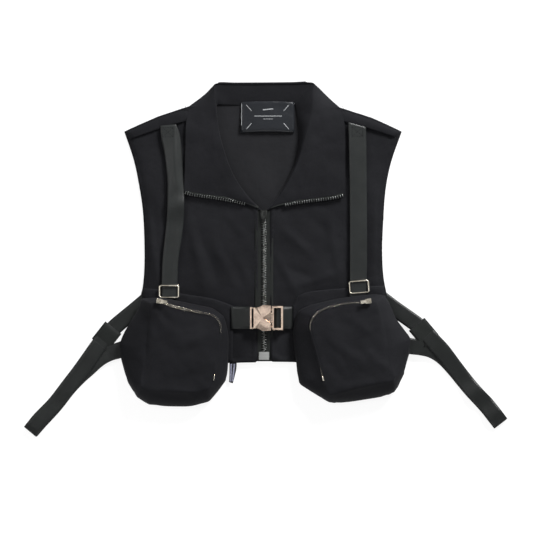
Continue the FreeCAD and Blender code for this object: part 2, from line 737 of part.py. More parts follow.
def build_pouch_zip(side, sign):
    """The chain along the face's top edge and down its inner edge, with its slider and pull."""
    level = "pouch_level+pouch_depth+0.05"
    axis = pouch_zip_axis(sign)
    half = "pouch_chain_width/2"
    overhang = "pouch_slider_length/2"
    start_x = f"pouch_slider_x+{overhang}"
    start_y = f"pouch_slider_y+{overhang}*pouch_zip_drop/(pouch_slider_x-pouch_zip_turn_x)"
    inner_x = "face_inner_x+pouch_chain_inset"
    turn_y = "pouch_slider_y-pouch_zip_drop"
    points = [
        (start_x, f"{start_y}+{half}"),
        ("pouch_zip_turn_x", f"{turn_y}+{half}", "5"),
        (inner_x, "face_inner_top_y"),
        ("face_bottom_inner_x", "pouch_chain_end_y"),
        ("face_bottom_inner_x+pouch_chain_width", "pouch_chain_end_y"),
        (f"{inner_x}+pouch_chain_width", "face_inner_top_y", "-4"),
        ("pouch_zip_turn_x", f"{turn_y}-{half}"),
        (start_x, f"{start_y}-{half}"),
    ]
    chain = padded_outline(f"{side}_chain", mirrored(points, sign), "pouch_chain_height", level, sign)
    sub_part(chain, f"pouch_zip_{side}")
    centre = (f"{sign}*pouch_slider_x", "pouch_slider_y")
    members, seat = slider_plates(f"{side}_pouch_slider", centre, axis, "pouch_slider_width",
                                  "pouch_slider_length", f"{level}+0.3", f"{level}+pouch_chain_height")
    sub_part(fused(f"{side}_pouch_slider_set", *members), f"pouch_slider_{side}")
    sub_part(pull_tab(f"{side}_pouch_pull_cut", centre, axis, "pouch_pull_length", seat),
             f"pouch_pull_{side}")


# ---------------------------------------------------------------- side straps

def build_side_strap(side, sign):
    """Upper webbing, lower webbing with its folded tail, their sewn anchors and the adjuster."""
    start = (f"{sign}*{side}_strap_start_x", f"{side}_strap_start_y")
    bend = (f"{sign}*{side}_strap_bend_x", f"{side}_strap_bend_y")
    finish = (f"{sign}*{side}_strap_end_x", f"{side}_strap_end_y")
    run = (f"{bend[0]}-({start[0]})", f"{bend[1]}-({start[1]})")
    tail_run = (f"{finish[0]}-({bend[0]})", f"{finish[1]}-({bend[1]})")
    tail_length = f"sqrt(({tail_run[0]})^2+({tail_run[1]})^2)"
    upper_length = f"sqrt(({run[0]})^2+({run[1]})^2)"
    half = "-webbing_width/2"

    def upper_web(name):
        return turned_block(name, start, run, "0", half,
                            (upper_length, "webbing_width", "webbing_thickness"), "side_web_level")

    tail = turned_block(f"{side}_tail", bend, tail_run, "0", half,
                        (tail_length, "webbing_width", "2*webbing_thickness"), "side_web_level")
    join = f"{side}_arm_join"
    arm_end = (f"{bend[0]}+({tail_run[0]})*{join}/{tail_length}",
               f"{bend[1]}+({tail_run[1]})*{join}/{tail_length}")
    arm_start = (f"{sign}*anchor_root_x", f"{side}_arm_y")
    arm_run = (f"{arm_end[0]}-({arm_start[0]})", f"{arm_end[1]}-({arm_start[1]})")
    arm_length = f"sqrt(({arm_run[0]})^2+({arm_run[1]})^2)"

    def arm_web(name):
        return turned_block(name, arm_start, arm_run, "0", half,
                            (f"{arm_length}+arm_tack_length/2", "webbing_width", "webbing_thickness"),
                            "side_arm_level")

    tack = turned_block(f"{side}_tack", bend, tail_run, f"{join}-arm_tack_length/2", half,
                        ("arm_tack_length", "webbing_width",
                         "side_arm_level-side_web_level+webbing_thickness/2"), "side_web_level")
    hinge = (f"{sign}*side_hinge_high_x", "side_hinge_high_y")
    hinge_run = (f"{sign}*(side_hinge_low_x-side_hinge_high_x)", "side_hinge_low_y-side_hinge_high_y")
    reach = "4*webbing_width"

    def half_plane(name, outside):
        across = "-seam_gap/2" if (outside == (sign > 0)) else f"seam_gap/2-{reach}"
        return turned_block(name, hinge, hinge_run, "-2*webbing_width", across,
                            ("2*" + reach, reach, "10*webbing_thickness"), "-1")

    upper = cut(f"{side}_upper_moving", upper_web(f"{side}_upper"), half_plane(f"{side}_in_a", False),
                tail)
    sub_part(upper, f"side_webbing_upper_{side}")
    lower = fused(f"{side}_lower_set", arm_web(f"{side}_arm"), tail, tack)
    sub_part(cut(f"{side}_lower_moving", lower, half_plane(f"{side}_in_b", False)),
             f"side_webbing_lower_{side}")
    root_edge = block(f"{side}_root_edge", ("-anchor_root_x", f"2*{side}_arm_y", "-1"),
                      ("2*anchor_root_x", f"-2*{side}_arm_y", "10*webbing_thickness"))
    roots = (("upper", upper_web(f"{side}_upper_root")), ("lower", arm_web(f"{side}_arm_root")))
    anchors = [
        cut(f"{side}_anchor_{name}", web, half_plane(f"{side}_out_{name}", True), root_edge)
        for name, web in roots
    ]
    sub_part(grouped(f"{side}_anchors", *anchors), f"side_strap_anchors_{side}")

    place = (f"{bend[0]}+({tail_run[0]})*side_adjuster_place/{tail_length}",
             f"{bend[1]}+({tail_run[1]})*side_adjuster_place/{tail_length}")
    square = (f"-({tail_run[1]})", f"({tail_run[0]})")
    adjuster = ring_frame(f"{side}_adjuster", place, square, "side_adjuster_length",
                          "side_adjuster_width", "side_adjuster_bar", "0", "side_adjuster_height",
                          "side_web_level", "2*webbing_thickness")
    sub_part(adjuster, f"side_adjuster_{side}")


# ---------------------------------------------------------------- label and tag

def build_labels():
    """The neck label on the inside of the back, and the small tag at the left hem."""
    label = centred_block("neck_label_block", ("label_x", "label_y", "label_level"),
                          ("label_width", "label_length", "label_thickness"))
    sub_part(label, "neck_label")
    tag = centred_block("side_tag_block", ("tag_x", "tag_y", "tag_level"),
                        ("tag_width", "tag_length", "tag_thickness"))
    sub_part(tag, "side_tag")


build_back_panel()
build_collar_back()
build_main_zip()
build_main_slider()
build_belt()
build_buckle_female()
build_buckle_male()
build_release_buttons()
build_labels()
for side_name, side_sign in SIDES:
    build_shoulder_yoke(side_name, side_sign)
    build_front_panel(side_name, side_sign)
    build_collar_roll(side_name, side_sign)
    build_collar_leaf(side_name, side_sign)
    build_collar_zip(side_name, side_sign)
    build_shoulder_strap(side_name, side_sign)
    build_pouch(side_name, side_sign)
    build_pouch_zip(side_name, side_sign)
    build_side_strap(side_name, side_sign)

doc.recompute()

for item in doc.Objects:
    if "Invalid" in item.State or "Error" in item.State:
        raise RuntimeError(f"{item.Name} failed: {item.State}")
for item in pieces:
    if item.Shape.isNull() or not item.Shape.isValid() or not item.Shape.Solids:
        raise RuntimeError(f"{item.Label} has no valid solid")

os.makedirs("parts", exist_ok=True)
for item in pieces:
    item.Shape.exportStep(f"parts/{item.Label}.step")
    box = item.Shape.BoundBox
    print(f"{item.Label}: {len(item.Shape.Solids)} solids, {item.Shape.Volume:.0f} mm3, "
          f"x {box.XMin:.1f} {box.XMax:.1f}, y {box.YMin:.1f} {box.YMax:.1f}, "
          f"z {box.ZMin:.1f} {box.ZMax:.1f}")
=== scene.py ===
import json
import math

import bmesh
import bpy
import numpy as np
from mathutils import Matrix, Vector, noise
from mathutils.bvhtree import BVHTree
from mathutils.geometry import delaunay_2d_cdt

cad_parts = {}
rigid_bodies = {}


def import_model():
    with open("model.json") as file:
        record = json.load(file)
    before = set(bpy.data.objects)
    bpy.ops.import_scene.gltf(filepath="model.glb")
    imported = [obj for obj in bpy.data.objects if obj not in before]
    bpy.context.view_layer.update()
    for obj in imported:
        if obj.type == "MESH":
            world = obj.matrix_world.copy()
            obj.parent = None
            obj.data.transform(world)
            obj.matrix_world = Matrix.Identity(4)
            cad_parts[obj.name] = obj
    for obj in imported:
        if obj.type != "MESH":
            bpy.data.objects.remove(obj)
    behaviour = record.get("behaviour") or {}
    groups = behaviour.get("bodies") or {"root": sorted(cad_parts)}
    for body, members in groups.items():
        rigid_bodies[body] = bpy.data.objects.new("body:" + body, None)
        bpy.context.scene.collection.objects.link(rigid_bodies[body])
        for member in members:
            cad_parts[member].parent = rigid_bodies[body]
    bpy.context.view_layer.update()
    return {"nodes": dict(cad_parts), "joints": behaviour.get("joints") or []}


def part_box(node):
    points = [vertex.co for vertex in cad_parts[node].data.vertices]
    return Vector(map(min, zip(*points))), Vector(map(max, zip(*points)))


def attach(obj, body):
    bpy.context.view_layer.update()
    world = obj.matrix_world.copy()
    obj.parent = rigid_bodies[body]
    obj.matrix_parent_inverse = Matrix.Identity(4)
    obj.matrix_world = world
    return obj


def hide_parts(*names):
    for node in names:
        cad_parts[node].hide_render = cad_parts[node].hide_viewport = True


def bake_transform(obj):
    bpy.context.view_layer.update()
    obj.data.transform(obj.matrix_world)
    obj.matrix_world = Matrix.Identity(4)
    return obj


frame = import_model()

# Lengths in this script are millimetres, in the CAD's frame; make_piece turns them into metres.
MM = 0.001
SIDES = {"left": -1, "right": 1}
CLOTH_THICK = 0.9
LINING_THICK = 0.8
WEBBING_THICK = 1.4
# How thick the very edge of woven webbing is, as a share of its thickness.
SELVAGE = 0.45


# -------- materials

def add_node(tree, kind, inputs=(), **settings):
    """A shader node with its settings, its input values and its links in one call."""
    node = tree.nodes.new(kind)
    for name, value in settings.items():
        setattr(node, name, value)
    for name, value in dict(inputs).items():
        if isinstance(value, bpy.types.NodeSocket):
            tree.links.new(value, node.inputs[name])
        else:
            node.inputs[name].default_value = value
    return node


def new_material(name, **values):
    """A Principled material; values are its sockets' names with underscores for spaces."""
    material = bpy.data.materials.new(name)
    material.use_nodes = True
    shader = material.node_tree.nodes["Principled BSDF"]
    for socket, value in values.items():
        shader.inputs[socket.replace("_", " ")].default_value = value
    return material, material.node_tree, shader


def colour_by(factor, dark, light, tree, shader):
    """The shader's colour goes from dark to light with a 0 to 1 factor."""
    ramp = add_node(tree, "ShaderNodeValToRGB", {"Fac": factor})
    ramp.color_ramp.elements[0].color = (*dark, 1)
    ramp.color_ramp.elements[0].position = 0.3
    ramp.color_ramp.elements[1].color = (*light, 1)
    ramp.color_ramp.elements[1].position = 0.7
    tree.links.new(ramp.outputs["Color"], shader.inputs["Base Color"])


def object_place(tree):
    return add_node(tree, "ShaderNodeTexCoord").outputs["Object"]


def noise_node(tree, place, scale, detail=3.0):
    return add_node(tree, "ShaderNodeTexNoise", {"Vector": place, "Scale": scale, "Detail": detail})


def bands(tree, place, pitch, turn):
    """Straight thread bands: pitch in metres, turned about Z."""
    turned = add_node(tree, "ShaderNodeMapping", {"Vector": place, "Rotation": (0, 0, turn)})
    scale = math.pi / (10 * pitch)
    return add_node(tree, "ShaderNodeTexWave",
                    {"Vector": turned.outputs["Vector"], "Scale": scale, "Distortion": 0.4},
                    wave_type="BANDS")


def bump(tree, height, distance, strength, below=None):
    inputs = {"Height": height, "Distance": distance, "Strength": strength}
    if below is not None:
        inputs["Normal"] = below
    return add_node(tree, "ShaderNodeBump", inputs).outputs["Normal"]


def cloth_material(name, dark, light, pitch, relief, **values):
    """Twill: diagonal ribs cut by the weft, soft creases, lint and slow colour changes."""
    material, tree, shader = new_material(name, **values)
    place = object_place(tree)
    patches = noise_node(tree, place, 14.0, 4.0)
    lint = noise_node(tree, place, 1400.0, 2.0)
    mixed = add_node(tree, "ShaderNodeMix", {"Factor": 0.35, "A": patches.outputs["Fac"],
                                             "B": lint.outputs["Fac"]})
    colour_by(mixed.outputs["Result"], dark, light, tree, shader)
    twill = bands(tree, place, pitch, math.radians(62))
    weft = bands(tree, place, pitch * 0.8, math.radians(90))
    threads = add_node(tree, "ShaderNodeMath", {0: twill.outputs["Fac"], 1: weft.outputs["Fac"]},
                       operation="MULTIPLY")
    creases = noise_node(tree, place, 70.0)
    crumple = bump(tree, creases.outputs["Fac"], 0.0016, 0.5)
    tree.links.new(bump(tree, threads.outputs["Value"], 0.00012, relief, crumple),
                   shader.inputs["Normal"])
    return material


def webbing_material(name, dark, light, rib, **values):
    """Woven tape: ribs across its length and fine threads along it, laid by its UV map."""
    material, tree, shader = new_material(name, **values)
    place = add_node(tree, "ShaderNodeUVMap").outputs["UV"]
    patches = noise_node(tree, object_place(tree), 40.0)
    colour_by(patches.outputs["Fac"], dark, light, tree, shader)
    ribs = bands(tree, place, rib, math.radians(90))
    threads = bands(tree, place, rib * 0.7, 0.0)
    weave = add_node(tree, "ShaderNodeMath", {0: ribs.outputs["Fac"], 1: threads.outputs["Fac"]},
                     operation="ADD")
    waviness = bump(tree, patches.outputs["Fac"], 0.001, 0.25)
    tree.links.new(bump(tree, weave.outputs["Value"], 0.00015, 0.4, waviness),
                   shader.inputs["Normal"])
    return material


def metal_material(name, colour, worn, scratch, relief=0.3, **values):
    """Cast or drawn metal with soft unevenness and duller patches."""
    material, tree, shader = new_material(name, Metallic=1.0, **values)
    place = object_place(tree)
    patches = noise_node(tree, place, 120.0)
    colour_by(patches.outputs["Fac"], worn, colour, tree, shader)
    spread = add_node(tree, "ShaderNodeMapRange",
                      {"Value": patches.outputs["Fac"], "To Min": scratch, "To Max": scratch + 0.16})
    tree.links.new(spread.outputs["Result"], shader.inputs["Roughness"])
    uneven = noise_node(tree, place, 260.0, 2.0)
    tree.links.new(bump(tree, uneven.outputs["Fac"], 0.0005, relief), shader.inputs["Normal"])
    return material


SHELL = cloth_material("shell_cloth", (0.0052, 0.0053, 0.0066), (0.0092, 0.0094, 0.0112), 0.0009, 0.7,
                       Roughness=0.80, Specular_IOR_Level=0.11, Sheen_Weight=0.015, Sheen_Roughness=0.4)
LINING = cloth_material("lining_cloth", (0.0072, 0.0073, 0.0087), (0.0115, 0.0117, 0.0133), 0.0007, 0.4,
                        Roughness=0.85, Specular_IOR_Level=0.13, Sheen_Weight=0.05, Sheen_Roughness=0.5)
TAPE = cloth_material("zip_tape", (0.0068, 0.0080, 0.0074), (0.0105, 0.0120, 0.0112), 0.0011, 0.6,
                      Roughness=0.7, Specular_IOR_Level=0.14, Sheen_Weight=0.04)
WEBBING = webbing_material("webbing", (0.0080, 0.0093, 0.0093), (0.0128, 0.0145, 0.0142), 0.0013,
                           Roughness=0.40, Specular_IOR_Level=0.30, Sheen_Weight=0.04,
                           Sheen_Roughness=0.3)
STRAP_WEBBING = webbing_material("strap_webbing", (0.0056, 0.0066, 0.0064), (0.0092, 0.0106, 0.0102),
                                 0.0013, Roughness=0.38, Specular_IOR_Level=0.27,
                                 Sheen_Weight=0.03)
THREAD, thread_tree, thread_shader = new_material("thread", Roughness=0.75, Specular_IOR_Level=0.12)
thread_twist = bands(thread_tree, object_place(thread_tree), 0.0006, math.radians(35))
colour_by(thread_twist.outputs["Fac"], (0.0050, 0.0050, 0.0062), (0.0085, 0.0088, 0.0105), thread_tree,
          thread_shader)
DARK_METAL = metal_material("dark_metal", (0.145, 0.15, 0.147), (0.10, 0.104, 0.10), 0.20, relief=0.04)
BLACK_METAL = metal_material("black_metal", (0.075, 0.078, 0.075), (0.04, 0.042, 0.04), 0.16)
GOLD = metal_material("gold_metal", (0.90, 0.71, 0.57), (0.56, 0.43, 0.35), 0.07)
PALE_GOLD = metal_material("pale_gold", (0.82, 0.77, 0.66), (0.50, 0.46, 0.38), 0.16)
CLEAR = cloth_material("clear_plastic", (0.16, 0.165, 0.16), (0.25, 0.255, 0.25), 0.002, 0.1,
                       Roughness=0.22, Specular_IOR_Level=0.6)
BLACK_PLASTIC = cloth_material("black_plastic", (0.005, 0.005, 0.006), (0.009, 0.009, 0.010), 0.003,
                               0.15, Roughness=0.4, Specular_IOR_Level=0.35)
SATIN = cloth_material("label_satin", (0.0055, 0.0065, 0.0088), (0.0092, 0.0108, 0.0140), 0.0006, 0.3,
                       Roughness=0.34, Specular_IOR_Level=0.30, Sheen_Weight=0.04)
MARKS = cloth_material("label_marks", (0.26, 0.27, 0.28), (0.40, 0.41, 0.42), 0.0008, 0.5,
                       Roughness=0.6)
TAG_MARKS = cloth_material("tag_marks", (0.22, 0.225, 0.31), (0.33, 0.34, 0.45), 0.0008, 0.5,
                           Roughness=0.6)


# -------- shape helpers

def spline(points, per_run=8, closed=False, slack=1.0):
    """A smooth curve through the points; a smaller slack keeps its corners."""
    points = np.array(points, float)
    if closed:
        padded = np.vstack([points[-1:], points, points[:2]])
    else:
        padded = np.vstack([2 * points[0] - points[1], points, 2 * points[-1] - points[-2]])
    result = []
    for before, start, end, after in zip(padded, padded[1:], padded[2:], padded[3:]):
        leaving = slack * (end - before) / 2
        arriving = slack * (after - start) / 2
        run = end - start
        for step in range(per_run):
            t = step / per_run
            result.append(start + leaving * t + (3 * run - 2 * leaving - arriving) * t ** 2
                          + (leaving + arriving - 2 * run) * t ** 3)
    if not closed:
        result.append(points[-1])
    return np.array(result)


def lengths_along(points):
    runs = np.linalg.norm(np.diff(points, axis=0), axis=1)
    return np.concatenate([[0], np.cumsum(runs)])


def unit(vectors):
    """The same directions with length 1."""
    return vectors / np.maximum(np.linalg.norm(vectors, axis=-1, keepdims=True), 1e-9)


def sampled(line, places):
    """The line's points at some distances along it."""
    along = lengths_along(line)
    return np.array([np.interp(places, along, values) for values in line.T]).T


def loop_of(points):
    """A closed line: the points with the first one repeated at the end."""
    return np.vstack([points, points[:1]])


def evenly(points, count):
    """The same line with evenly spaced points."""
    points = np.array(points, float)
    return sampled(points, np.linspace(0, lengths_along(points)[-1], count))


def stepped(points, step, closed=False):
    """The same line with its own points kept and no run longer than a step."""
    points = np.array(points, float)
    if closed:
        points = loop_of(points)
    result = []
    for start, end in zip(points, points[1:]):
        count = max(1, math.ceil(np.linalg.norm(end - start) / step))
        result += [start + (end - start) * k / count for k in range(count)]
    if not closed:
        result.append(points[-1])
    return np.array(result)


def distance_to(points, line):
    """Each point's distance to a line of straight runs, in plan."""
    best = np.full(len(points), 1e9)
    for start, end in zip(line, line[1:]):
        start = np.array(start, float)
        run = np.array(end, float) - start
        share = np.clip(((points - start) @ run) / max(run @ run, 1e-9), 0, 1)
        best = np.minimum(best, np.linalg.norm(points - start - share[:, None] * run, axis=1))
    return best


def inside(points, outline):
    """Whether each point lies within the closed outline."""
    result = np.zeros(len(points), bool)
    x, y = points[:, 0], points[:, 1]
    for (x0, y0), (x1, y1) in zip(outline, np.roll(outline, -1, axis=0)):
        crosses = (y0 > y) != (y1 > y)
        slope = (x1 - x0) / (y1 - y0) if y1 != y0 else 0.0
        result ^= crosses & (x < x0 + (y - y0) * slope)
    return result


def folds(points, creases):
    """Height of soft drag folds: each is (start, end, half width, height)."""
    height = np.zeros(len(points))
    for start, end, width, rise in creases:
        start = np.array(start, float)
        run = np.array(end, float) - start
        share = ((points - start) @ run) / (run @ run)
        clipped = np.clip(share, 0, 1)
        away = np.linalg.norm(points - start - clipped[:, None] * run, axis=1)
        taper = np.sin(np.pi * np.clip(share * 0.9 + 0.05, 0, 1))
        height += rise * taper * np.exp(-(away / width) ** 2)
    return height


def ripple(points, size, height, seed):
    """Gentle random unevenness, the same on every run."""
    return np.array([
        height * noise.noise(Vector((x / size, y / size, seed))) for x, y in points[:, :2]
    ])


def make_piece(name, points, faces, material, flip=False):
    """A smooth mesh piece from millimetre points."""
    mesh = bpy.data.meshes.new(name)
    rows = [tuple(reversed(face)) if flip else tuple(face) for face in faces]
    mesh.from_pydata([tuple(float(v) * MM for v in point) for point in points], [], rows)
    mesh.update()
    mesh.materials.append(material)
    mesh.shade_smooth()
    piece = bpy.data.objects.new(name, mesh)
    bpy.context.scene.collection.objects.link(piece)
    return piece


def thicken(piece, thickness):
    """Gives a sheet its thickness below its surface."""
    modifier = piece.modifiers.new("thickness", "SOLIDIFY")
    modifier.thickness = thickness * MM
    modifier.offset = -1.0
    return piece


def apply_modifiers(piece):
    """Bakes the modifiers into the mesh."""
    graph = bpy.context.evaluated_depsgraph_get()
    baked = bpy.data.meshes.new_from_object(piece.evaluated_get(graph))
    piece.modifiers.clear()
    piece.data = baked
    return piece


def join(name, pieces):
    """Several pieces as one."""
    with bpy.context.temp_override(active_object=pieces[0], selected_editable_objects=pieces,
                                   object=pieces[0]):
        bpy.ops.object.join()
    pieces[0].name = name
    return pieces[0]


# An equilateral triangle's height, and how far a grid keeps from its edge, both in steps.
TRIANGLE_HEIGHT = 0.866
EDGE_CLEARANCE = 0.55


def even_grid(edge, step):
    """Staggered points that fill an outline, clear of its edge."""
    low, high = edge.min(axis=0), edge.max(axis=0)
    xs = np.arange(low[0], high[0], step)
    ys = np.arange(low[1], high[1], step * TRIANGLE_HEIGHT)
    grid = np.array([(x + (row % 2) * step / 2, y) for row, y in enumerate(ys) for x in xs])
    grid = grid[inside(grid, edge)]
    return grid[distance_to(grid, loop_of(edge)) > step * EDGE_CLEARANCE]


def triangulate(points, edge_count):
    """Triangles of plan points, inside the closed line that the first of them make."""
    border = [(k, (k + 1) % edge_count) for k in range(edge_count)]
    flat, _, faces, _, _, _ = delaunay_2d_cdt([Vector(p) for p in points], border, [], 1, 1e-5)
    return flat, faces


def cloth_panel(name, outline, height, step=4.0, thickness=CLOTH_THICK, material=SHELL):
    """A sheet cut to an outline, with its surface height given by a function of plan position."""
    edge = stepped(outline, step, closed=True)
    grid = even_grid(edge, step)
    flat, faces = triangulate(np.vstack([edge, grid]), len(edge))
    flat = np.array([tuple(p) for p in flat])
    surface = np.column_stack([flat, height(flat)])
    first = surface[list(faces[0])]
    upward = np.cross(first[1] - first[0], first[2] - first[0])[2] > 0
    piece = make_piece(name, surface, faces, material, flip=not upward)
    piece["edge_points"] = len(edge)
    return thicken(piece, thickness)


def outward(piece):
    """Turns every face of a closed piece outward."""
    work = bmesh.new()
    work.from_mesh(piece.data)
    bmesh.ops.recalc_face_normals(work, faces=work.faces)
    work.to_mesh(piece.data)
    work.free()
    return piece


def grid_faces(rows, columns, wrap=False):
    """Quads of a grid whose points are listed row by row; wrap joins the last column to the first."""
    faces = []
    for row in range(rows - 1):
        for column in range(columns if wrap else columns - 1):
            after = (column + 1) % columns
            faces.append((row * columns + column, row * columns + after,
                          (row + 1) * columns + after, (row + 1) * columns + column))
    return faces


def set_uv(piece, uv):
    """A UV map from one (across, along) pair per vertex, in metres."""
    layer = piece.data.uv_layers.new(name="weave")
    for loop in piece.data.loops:
        layer.data[loop.index].uv = uv[loop.vertex_index]


def web_strip(name, rails, thickness=WEBBING_THICK, material=WEBBING, step=3.0,
              across=8):
    """Flat webbing laid through two or more lines of the same point count, edge to edge."""
    smooth = [spline(rail, 10) for rail in rails]
    count = max(6, int(lengths_along(smooth[0])[-1] / step))
    smooth = [evenly(rail, count) for rail in smooth]
    shares = np.linspace(0, 1, across * (len(rails) - 1) + 1)
    places = np.linspace(0, 1, len(rails))
    top = np.zeros((count, len(shares), 3))
    for axis in range(3):
        values = np.array([rail[:, axis] for rail in smooth])
        for row in range(count):
            top[row, :, axis] = np.interp(shares, places, values[:, row])
    along = np.gradient(top, axis=0)
    side = np.gradient(top, axis=1)
    normal = unit(np.cross(side, along))
    if normal[:, :, 2].mean() < 0:
        normal = -normal
    edge = np.minimum(np.arange(len(shares)), np.arange(len(shares))[::-1])
    half = thickness / 2 * np.where(edge == 0, SELVAGE, 1.0)[None, :, None]
    ring = np.concatenate([top + normal * half, (top - normal * half)[:, ::-1]], axis=1)
    columns = ring.shape[1]
    faces = grid_faces(count, columns, wrap=True)
    faces.append(tuple(range(columns)))
    faces.append(tuple(reversed(range((count - 1) * columns, count * columns))))
    piece = make_piece(name, ring.reshape(-1, 3), faces, material)
    distances = lengths_along(smooth[0])
    width = np.linalg.norm(top[0, -1] - top[0, 0])
    across_places = np.concatenate([shares, shares[::-1]]) * width
    set_uv(piece, [(x * MM, y * MM) for y in distances for x in across_places])
    return outward(piece)


def tube(name, line, radius, material, closed=False, around=10):
    """A round bar along a line."""
    line = np.array(line, float)
    count = len(line)
    ahead = np.roll(line, -1, axis=0) - np.roll(line, 1, axis=0) if closed else np.gradient(line, axis=0)
    ahead = unit(ahead)
    side_way = unit(np.cross(ahead, (0, 0, 1.0)))
    top_way = np.cross(side_way, ahead)
    turns = np.linspace(0, 2 * math.pi, around, endpoint=False)
    rings = (line[:, None, :] + radius * (np.cos(turns)[None, :, None] * side_way[:, None, :]
                                          + np.sin(turns)[None, :, None] * top_way[:, None, :]))
    if closed:
        rings = loop_of(rings)
        count += 1
    faces = grid_faces(count, around, wrap=True)
    if not closed:
        faces.append(tuple(range(around)))
        faces.append(tuple((count - 1) * around + k for k in range(around)))
    return outward(make_piece(name, rings.reshape(-1, 3), faces, material))


def leftward(line):
    """The unit direction to the left of a plan line at each of its points."""
    heading = unit(np.gradient(line, axis=0))
    return np.column_stack([-heading[:, 1], heading[:, 0]])


def webbing_along(name, path, width, material):
    """Flat webbing of one width along a line."""
    path = np.array(path, float)
    across = np.column_stack([leftward(path[:, :2]), np.zeros(len(path))]) * width / 2
    return web_strip(name, [path + across, path - across], material=material)


SETTLE_FRAMES = 14
SPARE_CLOTH = 0.012


def settle(piece, held_count, pressure, limit, bending=0.6):
    """Cloth simulation of a piece held at its first points, with some spare cloth as a share of
    its length; no point moves further than the limit."""
    for modifier in list(piece.modifiers):
        piece.modifiers.remove(modifier)
    start = np.array([tuple(vertex.co) for vertex in piece.data.vertices])
    group = piece.vertex_groups.new(name="held")
    group.add(list(range(held_count)), 1.0, "REPLACE")
    modifier = piece.modifiers.new("cloth", "CLOTH")
    cloth = modifier.settings
    cloth.quality = 6
    cloth.mass = 0.25
    cloth.vertex_group_mass = "held"
    cloth.tension_stiffness = 18
    cloth.compression_stiffness = 12
    cloth.shear_stiffness = 6
    cloth.bending_stiffness = bending
    cloth.shrink_min = -SPARE_CLOTH
    if pressure:
        cloth.use_pressure = True
        cloth.uniform_pressure_force = pressure
    cloth.effector_weights.gravity = 0.25
    for number in range(1, SETTLE_FRAMES + 1):
        scene.frame_set(number)
    apply_modifiers(piece)
    moved = np.array([tuple(vertex.co) for vertex in piece.data.vertices])
    shift = moved - start
    size = np.linalg.norm(shift, axis=1, keepdims=True)
    shift *= np.minimum(1.0, limit * MM / np.maximum(size, 1e-9))
    piece.data.vertices.foreach_set("co", (start + shift).astype(np.float32).ravel())
    piece.data.update()
    scene.frame_set(1)


def surface_of(*pieces):
    """A search tree over pieces as they stand, modifiers included."""
    points = []
    faces = []
    graph = bpy.context.evaluated_depsgraph_get()
    for piece in pieces:
        shape = piece.evaluated_get(graph)
        mesh = shape.to_mesh()
        start = len(points)
        points += [tuple(vertex.co) for vertex in mesh.vertices]
        faces += [[start + index for index in face.vertices] for face in mesh.polygons]
        shape.to_mesh_clear()
    return BVHTree.FromPolygons(points, faces)


DROP_FROM = 0.2
MISSED_LEVEL = 10.0


def dropped(points, surface, lift):
    """Plan points put on a surface from above, lifted a little."""
    result = []
    for x, y in np.array(points, float)[:, :2]:
        hit = surface.ray_cast(Vector((x * MM, y * MM, DROP_FROM)), Vector((0, 0, -1)))[0]
        height = hit.z / MM if hit else MISSED_LEVEL
        result.append((x, y, height + lift))
    return np.array(result)


STITCH_LONG = 2.6
STITCH_GAP = 1.0
STITCH_WIDE = 0.55
STITCH_HIGH = 0.32
STITCH_LIFT = 0.12
SHORTEST_STITCH = 0.2


def stitches(name, lines, surface):
    """Rows of separate lockstitches lying on a surface."""
    points = []
    faces = []
    for line in lines:
        line = np.array(line, float)
        total = lengths_along(line)[-1]
        marks = max(2, int(total / (STITCH_LONG + STITCH_GAP)))
        spots = dropped(evenly(line, marks * 2), surface, STITCH_LIFT)
        for start, end in zip(spots[0::2], spots[1::2]):
            run = end - start
            size = np.linalg.norm(run)
            if size < SHORTEST_STITCH:
                continue
            run /= size
            middle = (start + end) / 2
            side = np.array([-run[1], run[0], 0.0]) * STITCH_WIDE / 2
            up = np.array([0, 0, STITCH_HIGH])
            first = len(points)
            reach = run * STITCH_LONG / 2
            points += [middle - reach, middle + reach]
            for place in (-0.6, 0.0, 0.6):
                centre = middle + reach * place
                points += [centre + side, centre + up, centre - side]
            a, m, b = first + 2, first + 5, first + 8
            faces += [(first, a + 1, a), (first, a + 2, a + 1)]
            for near, far in ((a, m), (m, b)):
                faces += [(near, near + 1, far + 1, far), (near + 1, near + 2, far + 2, far + 1)]
            faces += [(first + 1, b, b + 1), (first + 1, b + 1, b + 2)]
    return make_piece(name, points, faces, THREAD)


def offset_line(line, distance):
    """A plan line moved sideways, to its left for a positive distance, one or one per point."""
    line = np.array(line, float)[:, :2]
    return line + leftward(line) * np.reshape(distance, (-1, 1))


# -------- camera, light and floor

# The width that the picture shows at the level of the vest's front, that level and the camera's
# place are in metres; the sensor is in millimetres.
FIELD = 0.810
FRONT_HEIGHT = 0.012
CAMERA_PLACE = (0.0038, -0.025, 3.2)
SENSOR = 36.0
scene = bpy.context.scene
camera_data = bpy.data.cameras.new("camera")
camera_data.sensor_width = SENSOR
camera_data.lens = SENSOR * (CAMERA_PLACE[2] - FRONT_HEIGHT) / FIELD
camera = bpy.data.objects.new("camera", camera_data)
camera.location = CAMERA_PLACE
scene.collection.objects.link(camera)
scene.camera = camera
scene.view_settings.view_transform = "Standard"


def softbox(name, place, target, size, power):
    """A square area light that faces a point."""
    data = bpy.data.lights.new(name, "AREA")
    data.shape = "SQUARE"
    data.size = size
    data.energy = power
    lamp = bpy.data.objects.new(name, data)
    lamp.location = place
    heading = Vector(target) - Vector(place)
    lamp.rotation_euler = heading.to_track_quat("-Z", "Y").to_euler()
    scene.collection.objects.link(lamp)


